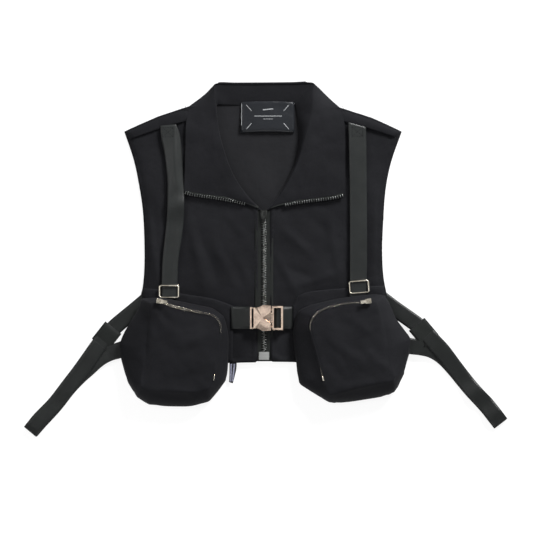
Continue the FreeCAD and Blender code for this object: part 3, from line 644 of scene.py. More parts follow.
softbox("key_light", (1.35, 2.15, 1.4), (0, 0, 0), 0.8, 160)
softbox("fill_light", (-1.9, 0.3, 2.0), (0, 0, 0), 1.4, 20)
softbox("front_light", (0.2, -2.2, 1.4), (0, 0, 0), 1.0, 12)
softbox("top_light", (0, 0, 4.2), (0, 0, 0), 1.8, 5.5)
world = bpy.data.worlds.new("studio")
scene.world = world
world.use_nodes = True
world.node_tree.nodes["Background"].inputs["Color"].default_value = (1, 1, 1, 1)
world.node_tree.nodes["Background"].inputs["Strength"].default_value = 0.33

floor_material, floor_tree, floor_shader = new_material(
    "floor_paper", Roughness=0.9, Specular_IOR_Level=0.1, Emission_Color=(1, 1, 1, 1),
    Emission_Strength=0.85)
floor_grain = noise_node(floor_tree, object_place(floor_tree), 6.0)
colour_by(floor_grain.outputs["Fac"], (0.20, 0.20, 0.20), (0.22, 0.22, 0.22), floor_tree, floor_shader)
FLOOR_HALF = 6000.0
FLOOR_LEVEL = -0.05
floor_corners = [(x * FLOOR_HALF, y * FLOOR_HALF, FLOOR_LEVEL)
                 for x, y in ((-1, -1), (1, -1), (1, 1), (-1, 1))]
floor = make_piece("floor", floor_corners, [(0, 1, 2, 3)], floor_material)


# -------- body panels

# Plan outlines: armholes run up from the hem, shoulders and yoke seams inward, and roll lines
# down from the neck.
ARMHOLE = {
    "left": [(-188, -70), (-184, -50), (-182, -10), (-184, 52), (-190, 97), (-199, 139), (-213, 180.5)],
    "right": [(187, -68), (182, -40), (180, -5), (181, 30), (185, 90), (194, 135), (210, 180.5)],
}
SHOULDER = {
    "left": [(-213, 180.5), (-161, 203), (-113, 219)],
    "right": [(210, 180.5), (164, 201), (114, 217)],
}
YOKE_POINTS = 36
YOKE_SEAM = {
    "left": [(-204, 169), (-158, 185), (-108, 200)],
    "right": [(203, 171), (157, 186), (110, 199)],
}
ROLL_LINE = {
    "left": [(-77, 253), (-74.5, 241), (-73, 222), (-70, 187), (-62, 152), (-50, 119), (-36.5, 95),
             (-21, 75), (-4, 60)],
    "right": [(76, 254.5), (74.5, 243), (73.5, 218), (68.5, 190), (61.5, 165), (51, 131), (32, 94),
              (15, 71), (3, 60)],
}
FRONT_EDGE = 9.5
HEM = {"left": -171.0, "right": -170.0}
FRONT_LEVEL = 9.8
BACK_LEVEL = 1.6
BACK_LOWEST = 0.95
# How far the front falls at its outer edge, hem and centre front, and over what distance.
SIDE_FALL, SIDE_REACH = 6.4, 7.5
HEM_FALL, HEM_REACH = 2.2, 6
CENTRE_FALL, CENTRE_REACH = 1.4, 2.2

DRAG_FOLDS = {
    "left": [((-118, 66), (-88, -66), 8, 2.6), ((-104, 40), (-66, -62), 7, -1.8),
             ((-80, 20), (-40, -66), 7, 1.9), ((-178, 60), (-158, -44), 6, 2.0),
             ((-170, 90), (-164, -20), 5, -1.4), ((-60, 56), (-20, 10), 7, 1.4),
             ((-46, 0), (-18, -60), 6, 1.3), ((-176, 20), (-160, -58), 5, 1.6)],
    "right": [((24, 36), (80, -14), 7, 2.2), ((14, 2), (56, -76), 7, 2.3),
              ((30, -60), (118, -34), 6, 2.0), ((96, 60), (118, -54), 7, 1.7),
              ((170, 90), (168, -50), 5, 1.8), ((60, 60), (112, 10), 9, -1.5),
              ((118, 10), (76, -46), 6, 1.5), ((20, -20), (90, -48), 6, -1.4)],
}


# The lower side panels overlap the fronts along this seam and carry the pouches.
SIDE_SEAM = {
    "left": [(-185.3, -58), (-160, -60), (-120, -67), (-78, -74), (-46, -85)],
    "right": [(183.4, -54), (160, -55), (122, -58), (62, -65), (42, -84)],
}
SEAM_GROOVE = 1.0
SEAM_HALF_WIDTH = 1.7


def front_outline(side):
    sign = SIDES[side]
    hem = HEM[side]
    bottom = [(sign * FRONT_EDGE, hem + 3), (sign * 13, hem), (sign * 50, hem - 0.5),
              (sign * 186, hem)]
    neck = [(sign * 78, 219)] + ROLL_LINE[side][3:-1]
    return np.vstack([[(sign * FRONT_EDGE, 62)], bottom, spline(ARMHOLE[side], 4),
                      SHOULDER[side][1:], neck])


def front_height(side):
    """Height of the front's top surface: nearly flat, falling to the back at its outer edges."""
    sign = SIDES[side]
    hem = HEM[side]
    side_line = [(sign * 187, hem)] + ARMHOLE[side]
    hem_line = [(sign * 12, hem), (sign * 188, hem)]
    centre_line = [(sign * FRONT_EDGE, 70), (sign * FRONT_EDGE, hem)]

    def height(points):
        level = np.full(len(points), FRONT_LEVEL)
        level -= SIDE_FALL * np.exp(-(distance_to(points, side_line) / SIDE_REACH) ** 1.3)
        level -= HEM_FALL * np.exp(-distance_to(points, hem_line) / HEM_REACH)
        level -= CENTRE_FALL * np.exp(-distance_to(points, centre_line) / CENTRE_REACH)
        level += folds(points, DRAG_FOLDS[side])
        level -= SEAM_GROOVE * np.exp(-(distance_to(points, SIDE_SEAM[side]) / SEAM_HALF_WIDTH) ** 2)
        level += ripple(points, 38, 1.5, 3.0 + sign)
        level += ripple(points, 14, 0.5, 7.0 + sign)
        return np.maximum(level, BACK_LEVEL + 1.0)

    return height


for side in SIDES:
    panel = cloth_panel(f"front_cloth_{side}", front_outline(side), front_height(side))
    settle(panel, panel["edge_points"], pressure=0.0, limit=2.6, bending=3.0)
    thicken(panel, CLOTH_THICK)
    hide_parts(f"front_panel_{side}")
    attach(panel, "vest")


def back_height(points):
    level = np.full(len(points), BACK_LEVEL)
    level += ripple(points, 45, 0.5, 11.0)
    level += folds(points, [((-30, 150), (20, 60), 12, 1.0), ((40, 170), (26, 90), 9, 0.7)])
    return np.maximum(level, BACK_LOWEST)


def back_outline():
    outline = []
    for side, order in (("left", 1), ("right", -1)):
        sign = SIDES[side]
        half = np.vstack([[(sign * 185, HEM[side] + 1)], spline(ARMHOLE[side], 3),
                          SHOULDER[side][1:], [(sign * 75, 223)]])
        half[:, 0] -= sign * 1.2
        outline.append(half[::order])
    return np.vstack(outline)


back = cloth_panel("back_cloth", back_outline(), back_height, step=5.0, material=LINING)
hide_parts("back_panel")
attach(back, "vest")


# -------- shoulder yokes

def yoke_rows(side):
    """The yoke from under the back, round the shoulder fold, to its seam on the front."""
    shoulder = evenly(stepped(SHOULDER[side], 4), YOKE_POINTS)
    seam = evenly(stepped(YOKE_SEAM[side], 4), YOKE_POINTS)
    profile = [(0.75, 1.3), (0.35, 1.4), (0.06, 2.0), (0.0, 3.6), (0.02, 6.0), (0.10, 8.6),
               (0.28, 10.4), (0.55, 11.2), (0.82, 11.1), (1.0, 10.9), (1.02, 9.9)]
    rows = []
    for share, level in profile:
        row = np.column_stack([shoulder + (seam - shoulder) * share, np.full(YOKE_POINTS, level)])
        steps = np.arange(YOKE_POINTS)
        ends = np.exp(-steps / 1.6) + np.exp(-steps[::-1] / 1.3)
        row[:, 2] -= ends * max(0.0, level - 4.0) * 0.75
        row[:, 2] += ripple(row, 17, 0.5, 21.0)
        rows.append(row)
    return np.array(rows)


for side, sign in SIDES.items():
    rows = yoke_rows(side)
    yoke = make_piece(f"shoulder_yoke_cloth_{side}", rows.reshape(-1, 3),
                      grid_faces(len(rows), rows.shape[1]), SHELL, flip=sign < 0)
    thicken(yoke, LINING_THICK)
    yoke.modifiers.new("smooth", "SUBSURF").levels = 1
    yoke.modifiers["smooth"].render_levels = 1
    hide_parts(f"shoulder_yoke_{side}")
    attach(yoke, "vest")


# -------- lower side panels

SEAM_RISE = 0.3
for side, sign in SIDES.items():
    height = front_height(side)
    seam = spline(SIDE_SEAM[side], 4)
    outline = np.vstack([seam, [(sign * 48, HEM[side] + 0.5), (sign * 186.5, HEM[side] + 0.5)]])
    panel = cloth_panel(f"side_panel_cloth_{side}", outline,
                        lambda points, level=height: level(points) + SEAM_RISE,
                        thickness=LINING_THICK)
    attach(panel, "vest")


# -------- collar

# Stations along the collar from its centre back to the bottom of the neck opening: the foot of
# the stand, the roll line at its top, and the outer edge of the leaf.
COLLAR = {
    "left": [
        ((0, 221.5, 3.0), (0, 253.8, 7.0), (0, 246, 2.4)),
        ((-42, 221.5, 3.0), (-42, 253.6, 7.2), (-42, 246, 2.4)),
        ((-64, 222, 3.1), (-73, 253.4, 8.6), (-80, 248, 2.4)),
        ((-71, 221.5, 3.2), (-75.5, 243, 11.0), (-92, 236, 2.8)),
        ((-72, 215, 3.6), (-73.5, 222, 13.2), (-114.5, 218.5, 8.8)),
        ((-69.5, 188, 4.0), (-70.5, 187, 13.6), (-118.5, 190, 12.4)),
        ((-61.2, 153, 4.0), (-62, 152, 13.8), (-119.5, 152, 11.6)),
        ((-49.2, 120, 4.2), (-50, 119, 13.6), (-121.5, 90.3, 11.4)),
        ((-35.8, 96.3, 5.0), (-36.5, 95.5, 13.2), (-82, 84.0, 11.2)),
        ((-18.5, 76, 6.5), (-21, 75, 12.6), (-46, 77.8, 11.0)),
        ((-3, 60, 9.0), (-4.2, 60.2, 10.8), (-6, 61, 10.4)),
    ],
    "right": [
        ((0, 221.5, 3.0), (0, 253.8, 7.0), (0, 246, 2.4)),
        ((36, 221.5, 3.0), (42, 254.2, 7.6), (42, 247, 2.4)),
        ((46, 223, 3.2), (74, 254.6, 9.6), (83, 248, 2.4)),
        ((48, 221, 3.4), (74.8, 244, 13.0), (99, 232, 2.8)),
        ((50, 209, 3.8), (73.5, 219, 15.6), (115, 217, 8.8)),
        ((53, 189, 4.0), (68.5, 190, 16.4), (122, 196, 12.4)),
        ((53, 164, 4.0), (61.5, 165, 15.6), (123, 150, 11.6)),
        ((46, 131, 4.4), (51.5, 131, 14.6), (122.5, 86.3, 11.4)),
        ((28, 94, 5.2), (32, 94, 13.4), (82, 79.8, 11.2)),
        ((13, 71.5, 7.0), (15.5, 71, 12.4), (44, 74.0, 11.0)),
        ((3, 60, 9.0), (4.2, 60.2, 10.8), (6, 61, 10.4)),
    ],
}
CORNERS = (2, 4, 7)
STAND_POINTS = 8
LEAF_POINTS = 26
STATION_STEPS = 9
COLLAR_THICK = 1.5
IN_PLAN = (1, 1, 0)


def bezier(p0, p1, p2, p3, shares):
    shares = np.array(shares)[:, None]
    rest = 1 - shares
    return (rest ** 3 * p0 + 3 * rest ** 2 * shares * p1
            + 3 * rest * shares ** 2 * p2 + shares ** 3 * p3)


def collar_section(foot, roll, edge):
    """One cross-section: up the stand, over the roll and down the leaf to its edge."""
    inward = unit((foot - roll) * IN_PLAN)
    outward_way = (edge - roll) * IN_PLAN
    reach = np.linalg.norm(outward_way)
    outward_way = unit(outward_way)
    stand = bezier(foot, foot + (roll - foot) * 0.25 + (0, 0, 0.3 * (roll[2] - foot[2])),
                   roll + inward * min(3.0, reach * 0.3) - (0, 0, 0.3), roll,
                   np.linspace(0, 1, STAND_POINTS + 1)[:-1])
    bulge = min(10.0, reach * 0.45)
    leaf = bezier(roll, roll + outward_way * bulge * 0.5, edge - outward_way * reach * 0.55
                  + (0, 0, 0.25), edge, np.linspace(0, 1, LEAF_POINTS) ** 1.35)
    return np.vstack([stand, leaf])


def collar_line(side, part):
    """One of the three lines through the stations; the leaf's edge keeps its corners."""
    stations = np.array([station[part] for station in COLLAR[side]], float)
    if part < 2:
        return spline(stations, STATION_STEPS)
    pieces = []
    stops = [0, *CORNERS, len(stations) - 1]
    for start, end in zip(stops, stops[1:]):
        pieces.append(spline(stations[start:end + 1], STATION_STEPS)[:-1])
    return np.vstack([*pieces, stations[-1:]])


def collar_rows(side):
    feet, rolls, edges = (collar_line(side, part) for part in range(3))
    rows = np.array([collar_section(*places) for places in zip(feet, rolls, edges)])
    flat = rows.reshape(-1, 3)
    calm = np.repeat(np.clip(np.arange(len(rows)) / 18, 0, 1), rows.shape[1])
    flat[:, 2] += ripple(flat, 26, 1.5, 31.0) * calm + ripple(flat, 12, 0.4, 37.0) * calm
    return flat.reshape(rows.shape)


def joint_named(name):
    return next(joint for joint in frame["joints"] if joint["name"] == name)


def across_joint(name, sign):
    """A point on a hinge and the unit direction across it in plan, away from the middle."""
    joint = joint_named(name)
    axis = Vector(joint["axis"])
    across = Vector((axis.y, -axis.x, 0)).normalized()
    if across.x * sign < 0:
        across = -across
    return Vector(joint["pos_m"]), across


def bend_with_leaf(piece, side):
    """Bakes the piece's transform into its mesh; the leaf's hinge place and the way across it are looked
    up but not used.
    """
    place, across = across_joint(f"collar_leaf_fold_{side}", SIDES[side])
    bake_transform(piece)


collar = {}
for side, sign in SIDES.items():
    rows = collar_rows(side)
    piece = make_piece(f"collar_cloth_{side}", rows.reshape(-1, 3),
                       grid_faces(len(rows), rows.shape[1]), SHELL, flip=sign > 0)
    apply_modifiers(thicken(piece, COLLAR_THICK))
    piece.data.set_sharp_from_angle(angle=math.radians(50))
    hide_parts(f"collar_leaf_{side}", f"collar_roll_{side}", "collar_back")
    collar[side] = piece


# -------- zips

TOOTH_PITCH = 3.65
TOOTH_PROFILE = [(0, -0.6), (2.3, -0.6), (3.0, -0.95), (4.3, -0.95), (4.8, -0.55),
                 (4.8, 0.55), (4.3, 0.95), (3.0, 0.95), (2.3, 0.6), (0, 0.6)]
TOOTH_MIDDLE = 2.4
# Share of a tooth's height, and how much the profile shrinks about its middle there.
TOOTH_LEVELS = [(0, 0.88), (0.3, 1.0), (0.72, 0.97), (1.0, 0.68)]


def teeth(name, line, away, height, material=DARK_METAL, pitch=TOOTH_PITCH, size=(1.0, 1.0),
          start=0.0):
    """A row of moulded zip teeth that stand on a line; away is +1 or -1 for heads on its left or
    right, and size is their scale at its two ends."""
    line = np.array(line, float)
    total = lengths_along(line)[-1]
    places = np.arange(start + pitch / 2, total, pitch)
    spots = sampled(line, places)
    sizes = np.interp(places, [0, total], size)
    sides = len(TOOTH_PROFILE)
    points = []
    faces = []
    for index, (spot, scale) in enumerate(zip(spots, sizes)):
        run = spots[min(index + 1, len(spots) - 1)] - spots[max(index - 1, 0)]
        run = run[:2] / np.linalg.norm(run[:2])
        out = np.array([-run[1], run[0]]) * away
        first = len(points)
        for share, shrink in TOOTH_LEVELS:
            for reach, half in TOOTH_PROFILE:
                place = spot[:2] + (out * (TOOTH_MIDDLE + (reach - TOOTH_MIDDLE) * shrink)
                                    + run * half * shrink) * scale
                points.append((*place, spot[2] + height * share))
        walls = grid_faces(len(TOOTH_LEVELS), sides, wrap=True)
        base = tuple(reversed(range(sides)))
        top = tuple(range(len(points) - first - sides, len(points) - first))
        faces += [tuple(first + corner for corner in face) for face in (*walls, base, top)]
    return outward(make_piece(name, points, faces, material))


teeth_low, teeth_high = (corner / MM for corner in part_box("zip_teeth_left"))
ZIP_BOTTOM = teeth_low.y
ZIP_TOP = teeth_high.y - 5.0
TEETH_X = 3.7
TEETH_LEVEL = 7.3
ZIP_TAPE_THICK = 0.7
for side, sign in SIDES.items():
    line = [(sign * TEETH_X, y, TEETH_LEVEL) for y in (ZIP_BOTTOM, ZIP_TOP)]
    row = teeth(f"zip_teeth_row_{side}", line, sign, 2.5, start=0.0 if sign < 0 else TOOTH_PITCH / 2)
    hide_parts(f"zip_teeth_{side}")
    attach(row, "vest")
    ys = np.linspace(ZIP_BOTTOM - 12, ZIP_TOP + 6, 12)
    rails = [[(sign * x, y, level) for y in ys]
             for x, level in ((2.4, 7.9), (3.4, 7.5), (14.0, 7.6))]
    tape = web_strip(f"zip_tape_cloth_{side}", rails, ZIP_TAPE_THICK, TAPE, step=4.0,
                     across=5)
    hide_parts(f"zip_tape_{side}")
    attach(tape, "vest")

# The open zip runs along the lower edge of each leaf: tape from under the cloth, teeth below it.
LEAF_ZIP = {
    "left": [(-121, 88), (-101, 83.5), (-82, 81), (-60, 77.5), (-40, 73.5), (-24, 69.5), (-9, 63.5)],
    "right": [(121, 84), (108, 80.5), (84, 77), (60, 74), (38, 70.5), (22, 67), (9, 63)],
}
LEAF_TEETH_END = {"left": 0.83, "right": 0.80}
LEAF_TAPE_OUTER = {"left": 1.0, "right": 0.6}
for side, sign in SIDES.items():
    line = spline(LEAF_ZIP[side], 12)
    along = lengths_along(line)
    narrowing = np.interp(along / along[-1], [0, 0.25, 0.8, 1], [LEAF_TAPE_OUTER[side], 1, 1, 0.3])
    upper = offset_line(line, -sign * 9.0 * narrowing)
    middle = offset_line(line, -sign * 3.0 * narrowing)
    rails = [np.column_stack([edge, np.full(len(edge), level)])
             for edge, level in ((upper, 9.7), (middle, 10.6), (line, 11.2))]
    tape = web_strip(f"leaf_zip_tape_{side}", [rail[::8] for rail in rails], ZIP_TAPE_THICK, TAPE,
                     across=4)
    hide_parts(f"collar_zip_{side}")
    bend_with_leaf(tape, side)
    inner = line[along < along[-1] * LEAF_TEETH_END[side]]
    edge = np.column_stack([offset_line(inner, -sign * 1.6), np.full(len(inner), 11.3)])
    row = teeth(f"leaf_zip_teeth_{side}", edge, sign, 2.3)
    bend_with_leaf(row, side)


# -------- shoulder and belt webbing

SHOULDER_WEB = {
    "left": [
        [(-157.5, 189, 12.2), (-157, 176, 12.4), (-152, 150, 12.0), (-148.5, 125, 12.4),
         (-146.5, 104, 12.4), (-146.5, 86, 12.6), (-146.5, 68, 15.6), (-148, 44, 12.2),
         (-151, 16, 12.6), (-154, -14, 12.4), (-155.2, -40, 11.8), (-155.5, -75, 12.2)],
        [(-135.5, 191, 12.6), (-135, 176, 13.4), (-135.5, 150, 15.6), (-135, 125, 16.2),
         (-133.5, 104, 16.0), (-131, 86, 14.0), (-131, 68, 16.2), (-132, 44, 12.6),
         (-134.5, 16, 12.8), (-137.5, -14, 12.5), (-139, -40, 11.9), (-139.5, -75, 12.4)],
        [(-134.0, 191, 12.2), (-128, 176, 11.2), (-125, 150, 10.4), (-123.5, 125, 10.4),
         (-122.5, 104, 11.2), (-121.5, 86, 13.0), (-121, 68, 15.8), (-122, 44, 12.2),
         (-125.5, 16, 12.6), (-130, -14, 12.4), (-131.2, -40, 11.8), (-131.4, -75, 12.2)],
    ],
    "right": [
        [(128, 194.5, 12.6), (129, 160, 12.4), (130, 110, 12.2), (130.5, 40, 12.2),
         (130.5, -20, 12.4), (130.5, -50, 12.8), (130.5, -75, 12.6)],
        [(141, 191, 13.0), (142, 160, 12.5), (143, 110, 12.4), (143.5, 40, 12.6),
         (143.5, -20, 12.6), (143, -50, 13.0), (143, -75, 12.8)],
        [(155, 187, 12.6), (155.5, 160, 12.4), (156, 110, 12.3), (156.5, 40, 12.3),
         (156.5, -20, 12.4), (155.5, -50, 12.8), (155.5, -75, 12.6)],
    ],
}
for side in SIDES:
    web = web_strip(f"shoulder_web_{side}", SHOULDER_WEB[side], across=6)
    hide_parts(f"shoulder_webbing_{side}")
    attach(web, "vest")

belt_low, belt_high = (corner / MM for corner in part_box("belt_webbing_left"))
BELT_Y = (belt_low.y + belt_high.y) / 2
BELT_HALF = (belt_high.y - belt_low.y) / 2 - 0.3
belt_parts = {
    "belt_web_left": ("belt_webbing_left", "vest",
                      [(-50, 11.6), (-38, 11.6), (-28, 12.4), (-21, 14.6), (-17.8, 16.2)]),
    "belt_web_right": ("belt_webbing_right", "belt_tongue",
                       [(43, 11.2), (38, 11.6), (33, 12.6), (27, 15.2), (21, 14.4), (16.5, 13.2)]),
}
for name, (node, body, line) in belt_parts.items():
    rails = [[(x, BELT_Y + offset, level) for x, level in line] for offset in (BELT_HALF, -BELT_HALF)]
    web = web_strip(name, rails, material=STRAP_WEBBING)
    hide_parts(node)
    if body == "vest":
        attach(web, body)
    else:
        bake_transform(web)


# -------- pouches

# Going round each pouch from its top outer corner down the outer side: the widest outline, then
# the matching points of the front face.
POUCH = {
    "left": [
        ((-186, -73), (-172, -80)), ((-190, -88), (-173, -100)), ((-211, -123), (-175, -125)),
        ((-220, -143), (-178, -147)), ((-217, -165), (-182, -168)), ((-207, -200), (-187, -198)),
        ((-193, -224), (-186, -208)), ((-175, -235), (-173, -213)), ((-140, -237), (-135, -215)),
        ((-109, -237), (-104, -214)), ((-83, -230), (-84, -210)), ((-57.5, -199), (-76, -198)),
        ((-54.5, -171), (-71, -167)), ((-54, -130), (-65, -122)), ((-60, -101), (-70, -105)),
        ((-78, -88), (-84, -97)), ((-112, -80), (-112, -90)), ((-155, -72), (-152, -81)),
    ],
    "right": [
        ((184, -68), (170, -79)), ((200, -102), (176, -100)), ((213, -121), (183, -125)),
        ((223, -135), (187, -145)), ((221, -158), (191, -163)), ((212, -190), (197, -190)),
        ((199, -217), (194, -198)), ((174, -223), (170, -203)), ((136, -229), (131, -212)),
        ((99, -233), (100, -219)), ((76, -219), (92, -208)), ((54, -205), (84, -190)),
        ((49, -172), (80, -165)), ((43, -122), (70, -124)), ((52, -92), (74, -101)),
        ((74, -82), (88, -90)), ((112, -74), (112, -84)), ((150, -69), (148, -79)),
    ],
}
POUCH_LEVELS = [
    # share of the way from the widest outline to the face, scale of the outline, height
    (0.0, 0.955, 10.9), (0.0, 0.985, 13.5), (0.0, 1.0, 17.5), (0.12, 1.0, 22.0), (0.34, 1.0, 27.0),
    (0.58, 1.0, 31.6), (0.80, 1.0, 35.4), (0.93, 1.0, 37.6), (0.985, 1.0, 38.7),
    (1.0, 0.992, 39.3), (1.0, 0.965, 39.9), (1.0, 0.92, 40.3),
]
POUCH_AROUND = 8
POUCH_SLACK = 0.4
FACE_CROWN = 1.8
CROWN_REACH = 22
# How far a pouch's underside hangs below the vest where it passes the hem.
POUCH_DROOP = 6.0
FACE_GRID = 4.2
# Soft folds of the pouches: start, end, half width, height.
POUCH_FOLDS = {
    "left": [((-174, -92), (-182, -214), 4, -2.2), ((-166, -84), (-150, -118), 4, 1.6),
             ((-160, -92), (-138, -112), 4, -1.2), ((-150, -208), (-96, -218), 4, 1.6),
             ((-168, -216), (-104, -226), 4, -1.5), ((-138, -150), (-88, -128), 8, 1.6),
             ((-120, -196), (-78, -176), 8, -1.3)],
    "right": [((180, -96), (192, -198), 4, -2.2), ((92, -128), (152, -176), 8, 2.2),
              ((84, -152), (130, -206), 8, -1.9), ((108, -210), (186, -196), 6, 2.0),
              ((120, -96), (176, -134), 7, 1.6), ((150, -150), (196, -186), 6, 1.5),
              ((62, -120), (76, -206), 5, -1.6)],
}


def pouch_ring(side, share, scale, level):
    widest, face = (spline([pair[part] for pair in POUCH[side]], POUCH_AROUND, closed=True,
                           slack=POUCH_SLACK) for part in range(2))
    ring = widest + (face - widest) * share
    centre = ring.mean(axis=0)
    ring = centre + (ring - centre) * scale
    beyond_hem = np.clip((HEM[side] - ring[:, 1]) / 40, 0, 1)
    droop = POUCH_DROOP * beyond_hem * np.clip((26 - level) / 16, 0, 1)
    return np.column_stack([ring, np.full(len(ring), level) - droop])


def pouch_mesh(side):
    """Rings up the sides to the face's edge, then a face of even triangles."""
    rows = np.array([pouch_ring(side, *row) for row in POUCH_LEVELS])
    around = rows.shape[1]
    flat = rows.reshape(-1, 3)
    edge = rows[-1]
    grid = even_grid(edge[:, :2], FACE_GRID)
    depth = distance_to(grid, loop_of(edge)[:, :2])
    crown = edge[:, 2].mean() + FACE_CROWN * (1 - np.exp(-depth / CROWN_REACH))
    points = np.vstack([flat, np.column_stack([grid, crown])])
    strength = np.ones(len(points))
    strength[:around] = 0
    sign = SIDES[side]
    points[:, 2] += (ripple(points, 30, 1.8, 51.0 + sign) + ripple(points, 12, 0.7, 57.0 + sign)
                     + folds(points[:, :2], POUCH_FOLDS[side])) * strength
    faces = grid_faces(len(rows), around, wrap=True)
    first = len(flat) - around
    triangles = triangulate(points[first:, :2], around)[1]
    faces += [tuple(first + index for index in triangle) for triangle in triangles]
    return points, faces, around


pouch_surface = {}
for side in SIDES:
    points, faces, around = pouch_mesh(side)
    pouch = make_piece(f"pouch_cloth_{side}", points, faces, SHELL)
    outward(pouch)
    settle(pouch, around, pressure=0.7, limit=1.8)
    thicken(pouch, CLOTH_THICK)
    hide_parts(f"pouch_{side}")
    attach(pouch, "vest")
    pouch_surface[side] = surface_of(pouch)


# The zip starts at its slider, runs along the top of the face, turns the corner and goes down.
POUCH_ZIP = {
    "left": [(-156, -77.5), (-138, -84.5), (-118, -90), (-99, -93.5), (-84, -96.5), (-74, -100.5),
             (-67.5, -108), (-65, -119), (-67, -140), (-70, -166), (-76, -197)],
    "right": [(156, -77.5), (134, -80), (116, -82), (98, -86), (82, -94), (73, -103),
              (69.5, -115), (72, -131), (79, -155), (84, -174), (90, -197)],
}
# The runs of chain that show, as shares of the zip's length with the teeth's scale at both ends;
# between them the cloth closes over it.
CHAIN_RUNS = {
    "left": [(0.0, 0.36, 0.44, 0.36), (0.36, 0.61, 0.30, 0.18)],
    "right": [(0.0, 0.58, 0.22, 0.20), (0.88, 0.985, 0.16, 0.20)],
}
CHAIN_PITCH = 1.7
CHAIN_LOWEST = 38.2
STOP_RADIUS = {"left": 0.5, "right": 1.3}
for side in SIDES:
    line = spline(POUCH_ZIP[side], 10)
    on_cloth = dropped(line, pouch_surface[side], 0.35)
    on_cloth[:, 2] = np.maximum(on_cloth[:, 2], CHAIN_LOWEST)
    rails = []
    for offset in (1.1, 0.0, -1.1):
        rail = dropped(offset_line(line, offset), pouch_surface[side], 0.1)
        rail[:, 2] = np.maximum(rail[:, 2], on_cloth[:, 2] - 1.6)
        rails.append(rail[::5])
    tape = web_strip(f"pouch_zip_tape_{side}", rails, 0.5, SHELL, across=3)
    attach(tape, "vest")
    along = lengths_along(on_cloth) / lengths_along(on_cloth)[-1]
    chain_line = on_cloth + (0, 0, 0.45)
    parts = []
    for start, end, first_size, last_size in CHAIN_RUNS[side]:
        run = chain_line[(along >= start) & (along <= end)]
        for away in (1, -1):
            parts.append(teeth(f"pouch_zip_teeth_{away}", run, away, 0.9, PALE_GOLD, CHAIN_PITCH,
                               (first_size, last_size), CHAIN_PITCH / 2 if away > 0 else 0.0))
    parts.append(tube("zip_stop", chain_line[-4:], STOP_RADIUS[side], PALE_GOLD))
    chain = join(f"pouch_zip_chain_{side}", parts)
    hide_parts(f"pouch_zip_{side}")
    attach(chain, "vest")


# -------- label and side tag

LABEL_LEFT, LABEL_RIGHT = -35.0, 46.0
LABEL_WAVE = 1.2
LABEL_DROOP = 1.8
label_middle = (LABEL_LEFT + LABEL_RIGHT) / 2
label_half = (LABEL_RIGHT - LABEL_LEFT) / 2
LABEL_PROFILE = [(225.5, 5.6), (222, 6.4), (214, 6.6), (204, 6.9), (195, 7.6), (188, 8.3),
                 (183, 8.2), (180, 6.9), (179.2, 5.2), (180.6, 3.8), (185, 3.1)]
profile = spline(LABEL_PROFILE, 4)
columns = np.linspace(LABEL_LEFT, LABEL_RIGHT, 29)
rows = np.array([[(x, y + LABEL_WAVE * math.sin((x - LABEL_LEFT) / 26),
                   z - LABEL_DROOP * abs((x - label_middle) / label_half) ** 3)
                  for x in columns] for y, z in profile])
flat = rows.reshape(-1, 3)
flat[:, 2] += ripple(flat, 15, 0.8, 71.0)
label = make_piece("neck_label_satin", flat, grid_faces(len(profile), len(columns)), SATIN,
                   flip=True)
thicken(label, 0.5)
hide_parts("neck_label")
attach(label, "vest")
label_top = surface_of(label)


SATIN_PITCH = 0.9
SATIN_LIFT = 0.15
SATIN_RISE = 0.28


def satin_bar(name, start, end, width, surface, material):
    """A bar of close satin stitches across a line: generic marks, no lettering."""
    start = np.array(start, float)
    run = np.array(end, float) - start
    count = max(2, int(np.linalg.norm(run) / SATIN_PITCH))
    run_way = run / np.linalg.norm(run)
    side = np.array([-run_way[1], run_way[0]]) * width / 2
    points = []
    faces = []
    for k in range(count):
        middle = start + run * (k + 0.5) / count
        corners = [middle + side + run_way * 0.1, middle - side + run_way * 0.1]
        spots = dropped(corners, surface, SATIN_LIFT)
        half = np.array([*run_way, 0]) * SATIN_PITCH * 0.38
        first = len(points)
        for spot in spots:
            points += [spot - half, spot + (0, 0, SATIN_RISE), spot + half]
        faces += [(first, first + 1, first + 4, first + 3), (first + 1, first + 2, first + 5, first + 4)]
    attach(make_piece(name, points, faces, material), "vest")


LABEL_MARKS = [
    ((-2, 213.5), (14, 215), 1.7), ((-15, 204), (27, 204), 1.1), ((-2, 199.5), (13, 199.5), 0.8),
    ((-27, 221), (-19, 212), 1.0), ((38, 221), (30, 212), 1.0),
    ((-27, 184), (-19, 193), 1.0), ((38, 184), (30, 193), 1.0),
    ((-34.2, 223), (-34.2, 190), 0.9),
]
for number, (start, end, width) in enumerate(LABEL_MARKS):
    satin_bar(f"label_mark_{number}", start, end, width, label_top, MARKS)

TAG = [[(-52.5, -166, 5.0), (-52.6, -180, 6.6), (-52.8, -192, 6.6), (-53.2, -201, 5.0)],
       [(-41.5, -166, 5.0), (-42, -180, 6.2), (-44.5, -192, 5.8), (-47.5, -203, 4.6)]]
tag = web_strip("side_tag_loop", TAG, thickness=0.9, material=SATIN, across=4)
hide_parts("side_tag")
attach(tag, "vest")
tag_top = surface_of(tag)
satin_bar("side_tag_mark_0", (-49.8, -173), (-51.0, -200), 2.4, tag_top, TAG_MARKS)
satin_bar("side_tag_mark_1", (-45.0, -173), (-47.8, -200), 2.2, tag_top, TAG_MARKS)


# -------- side straps

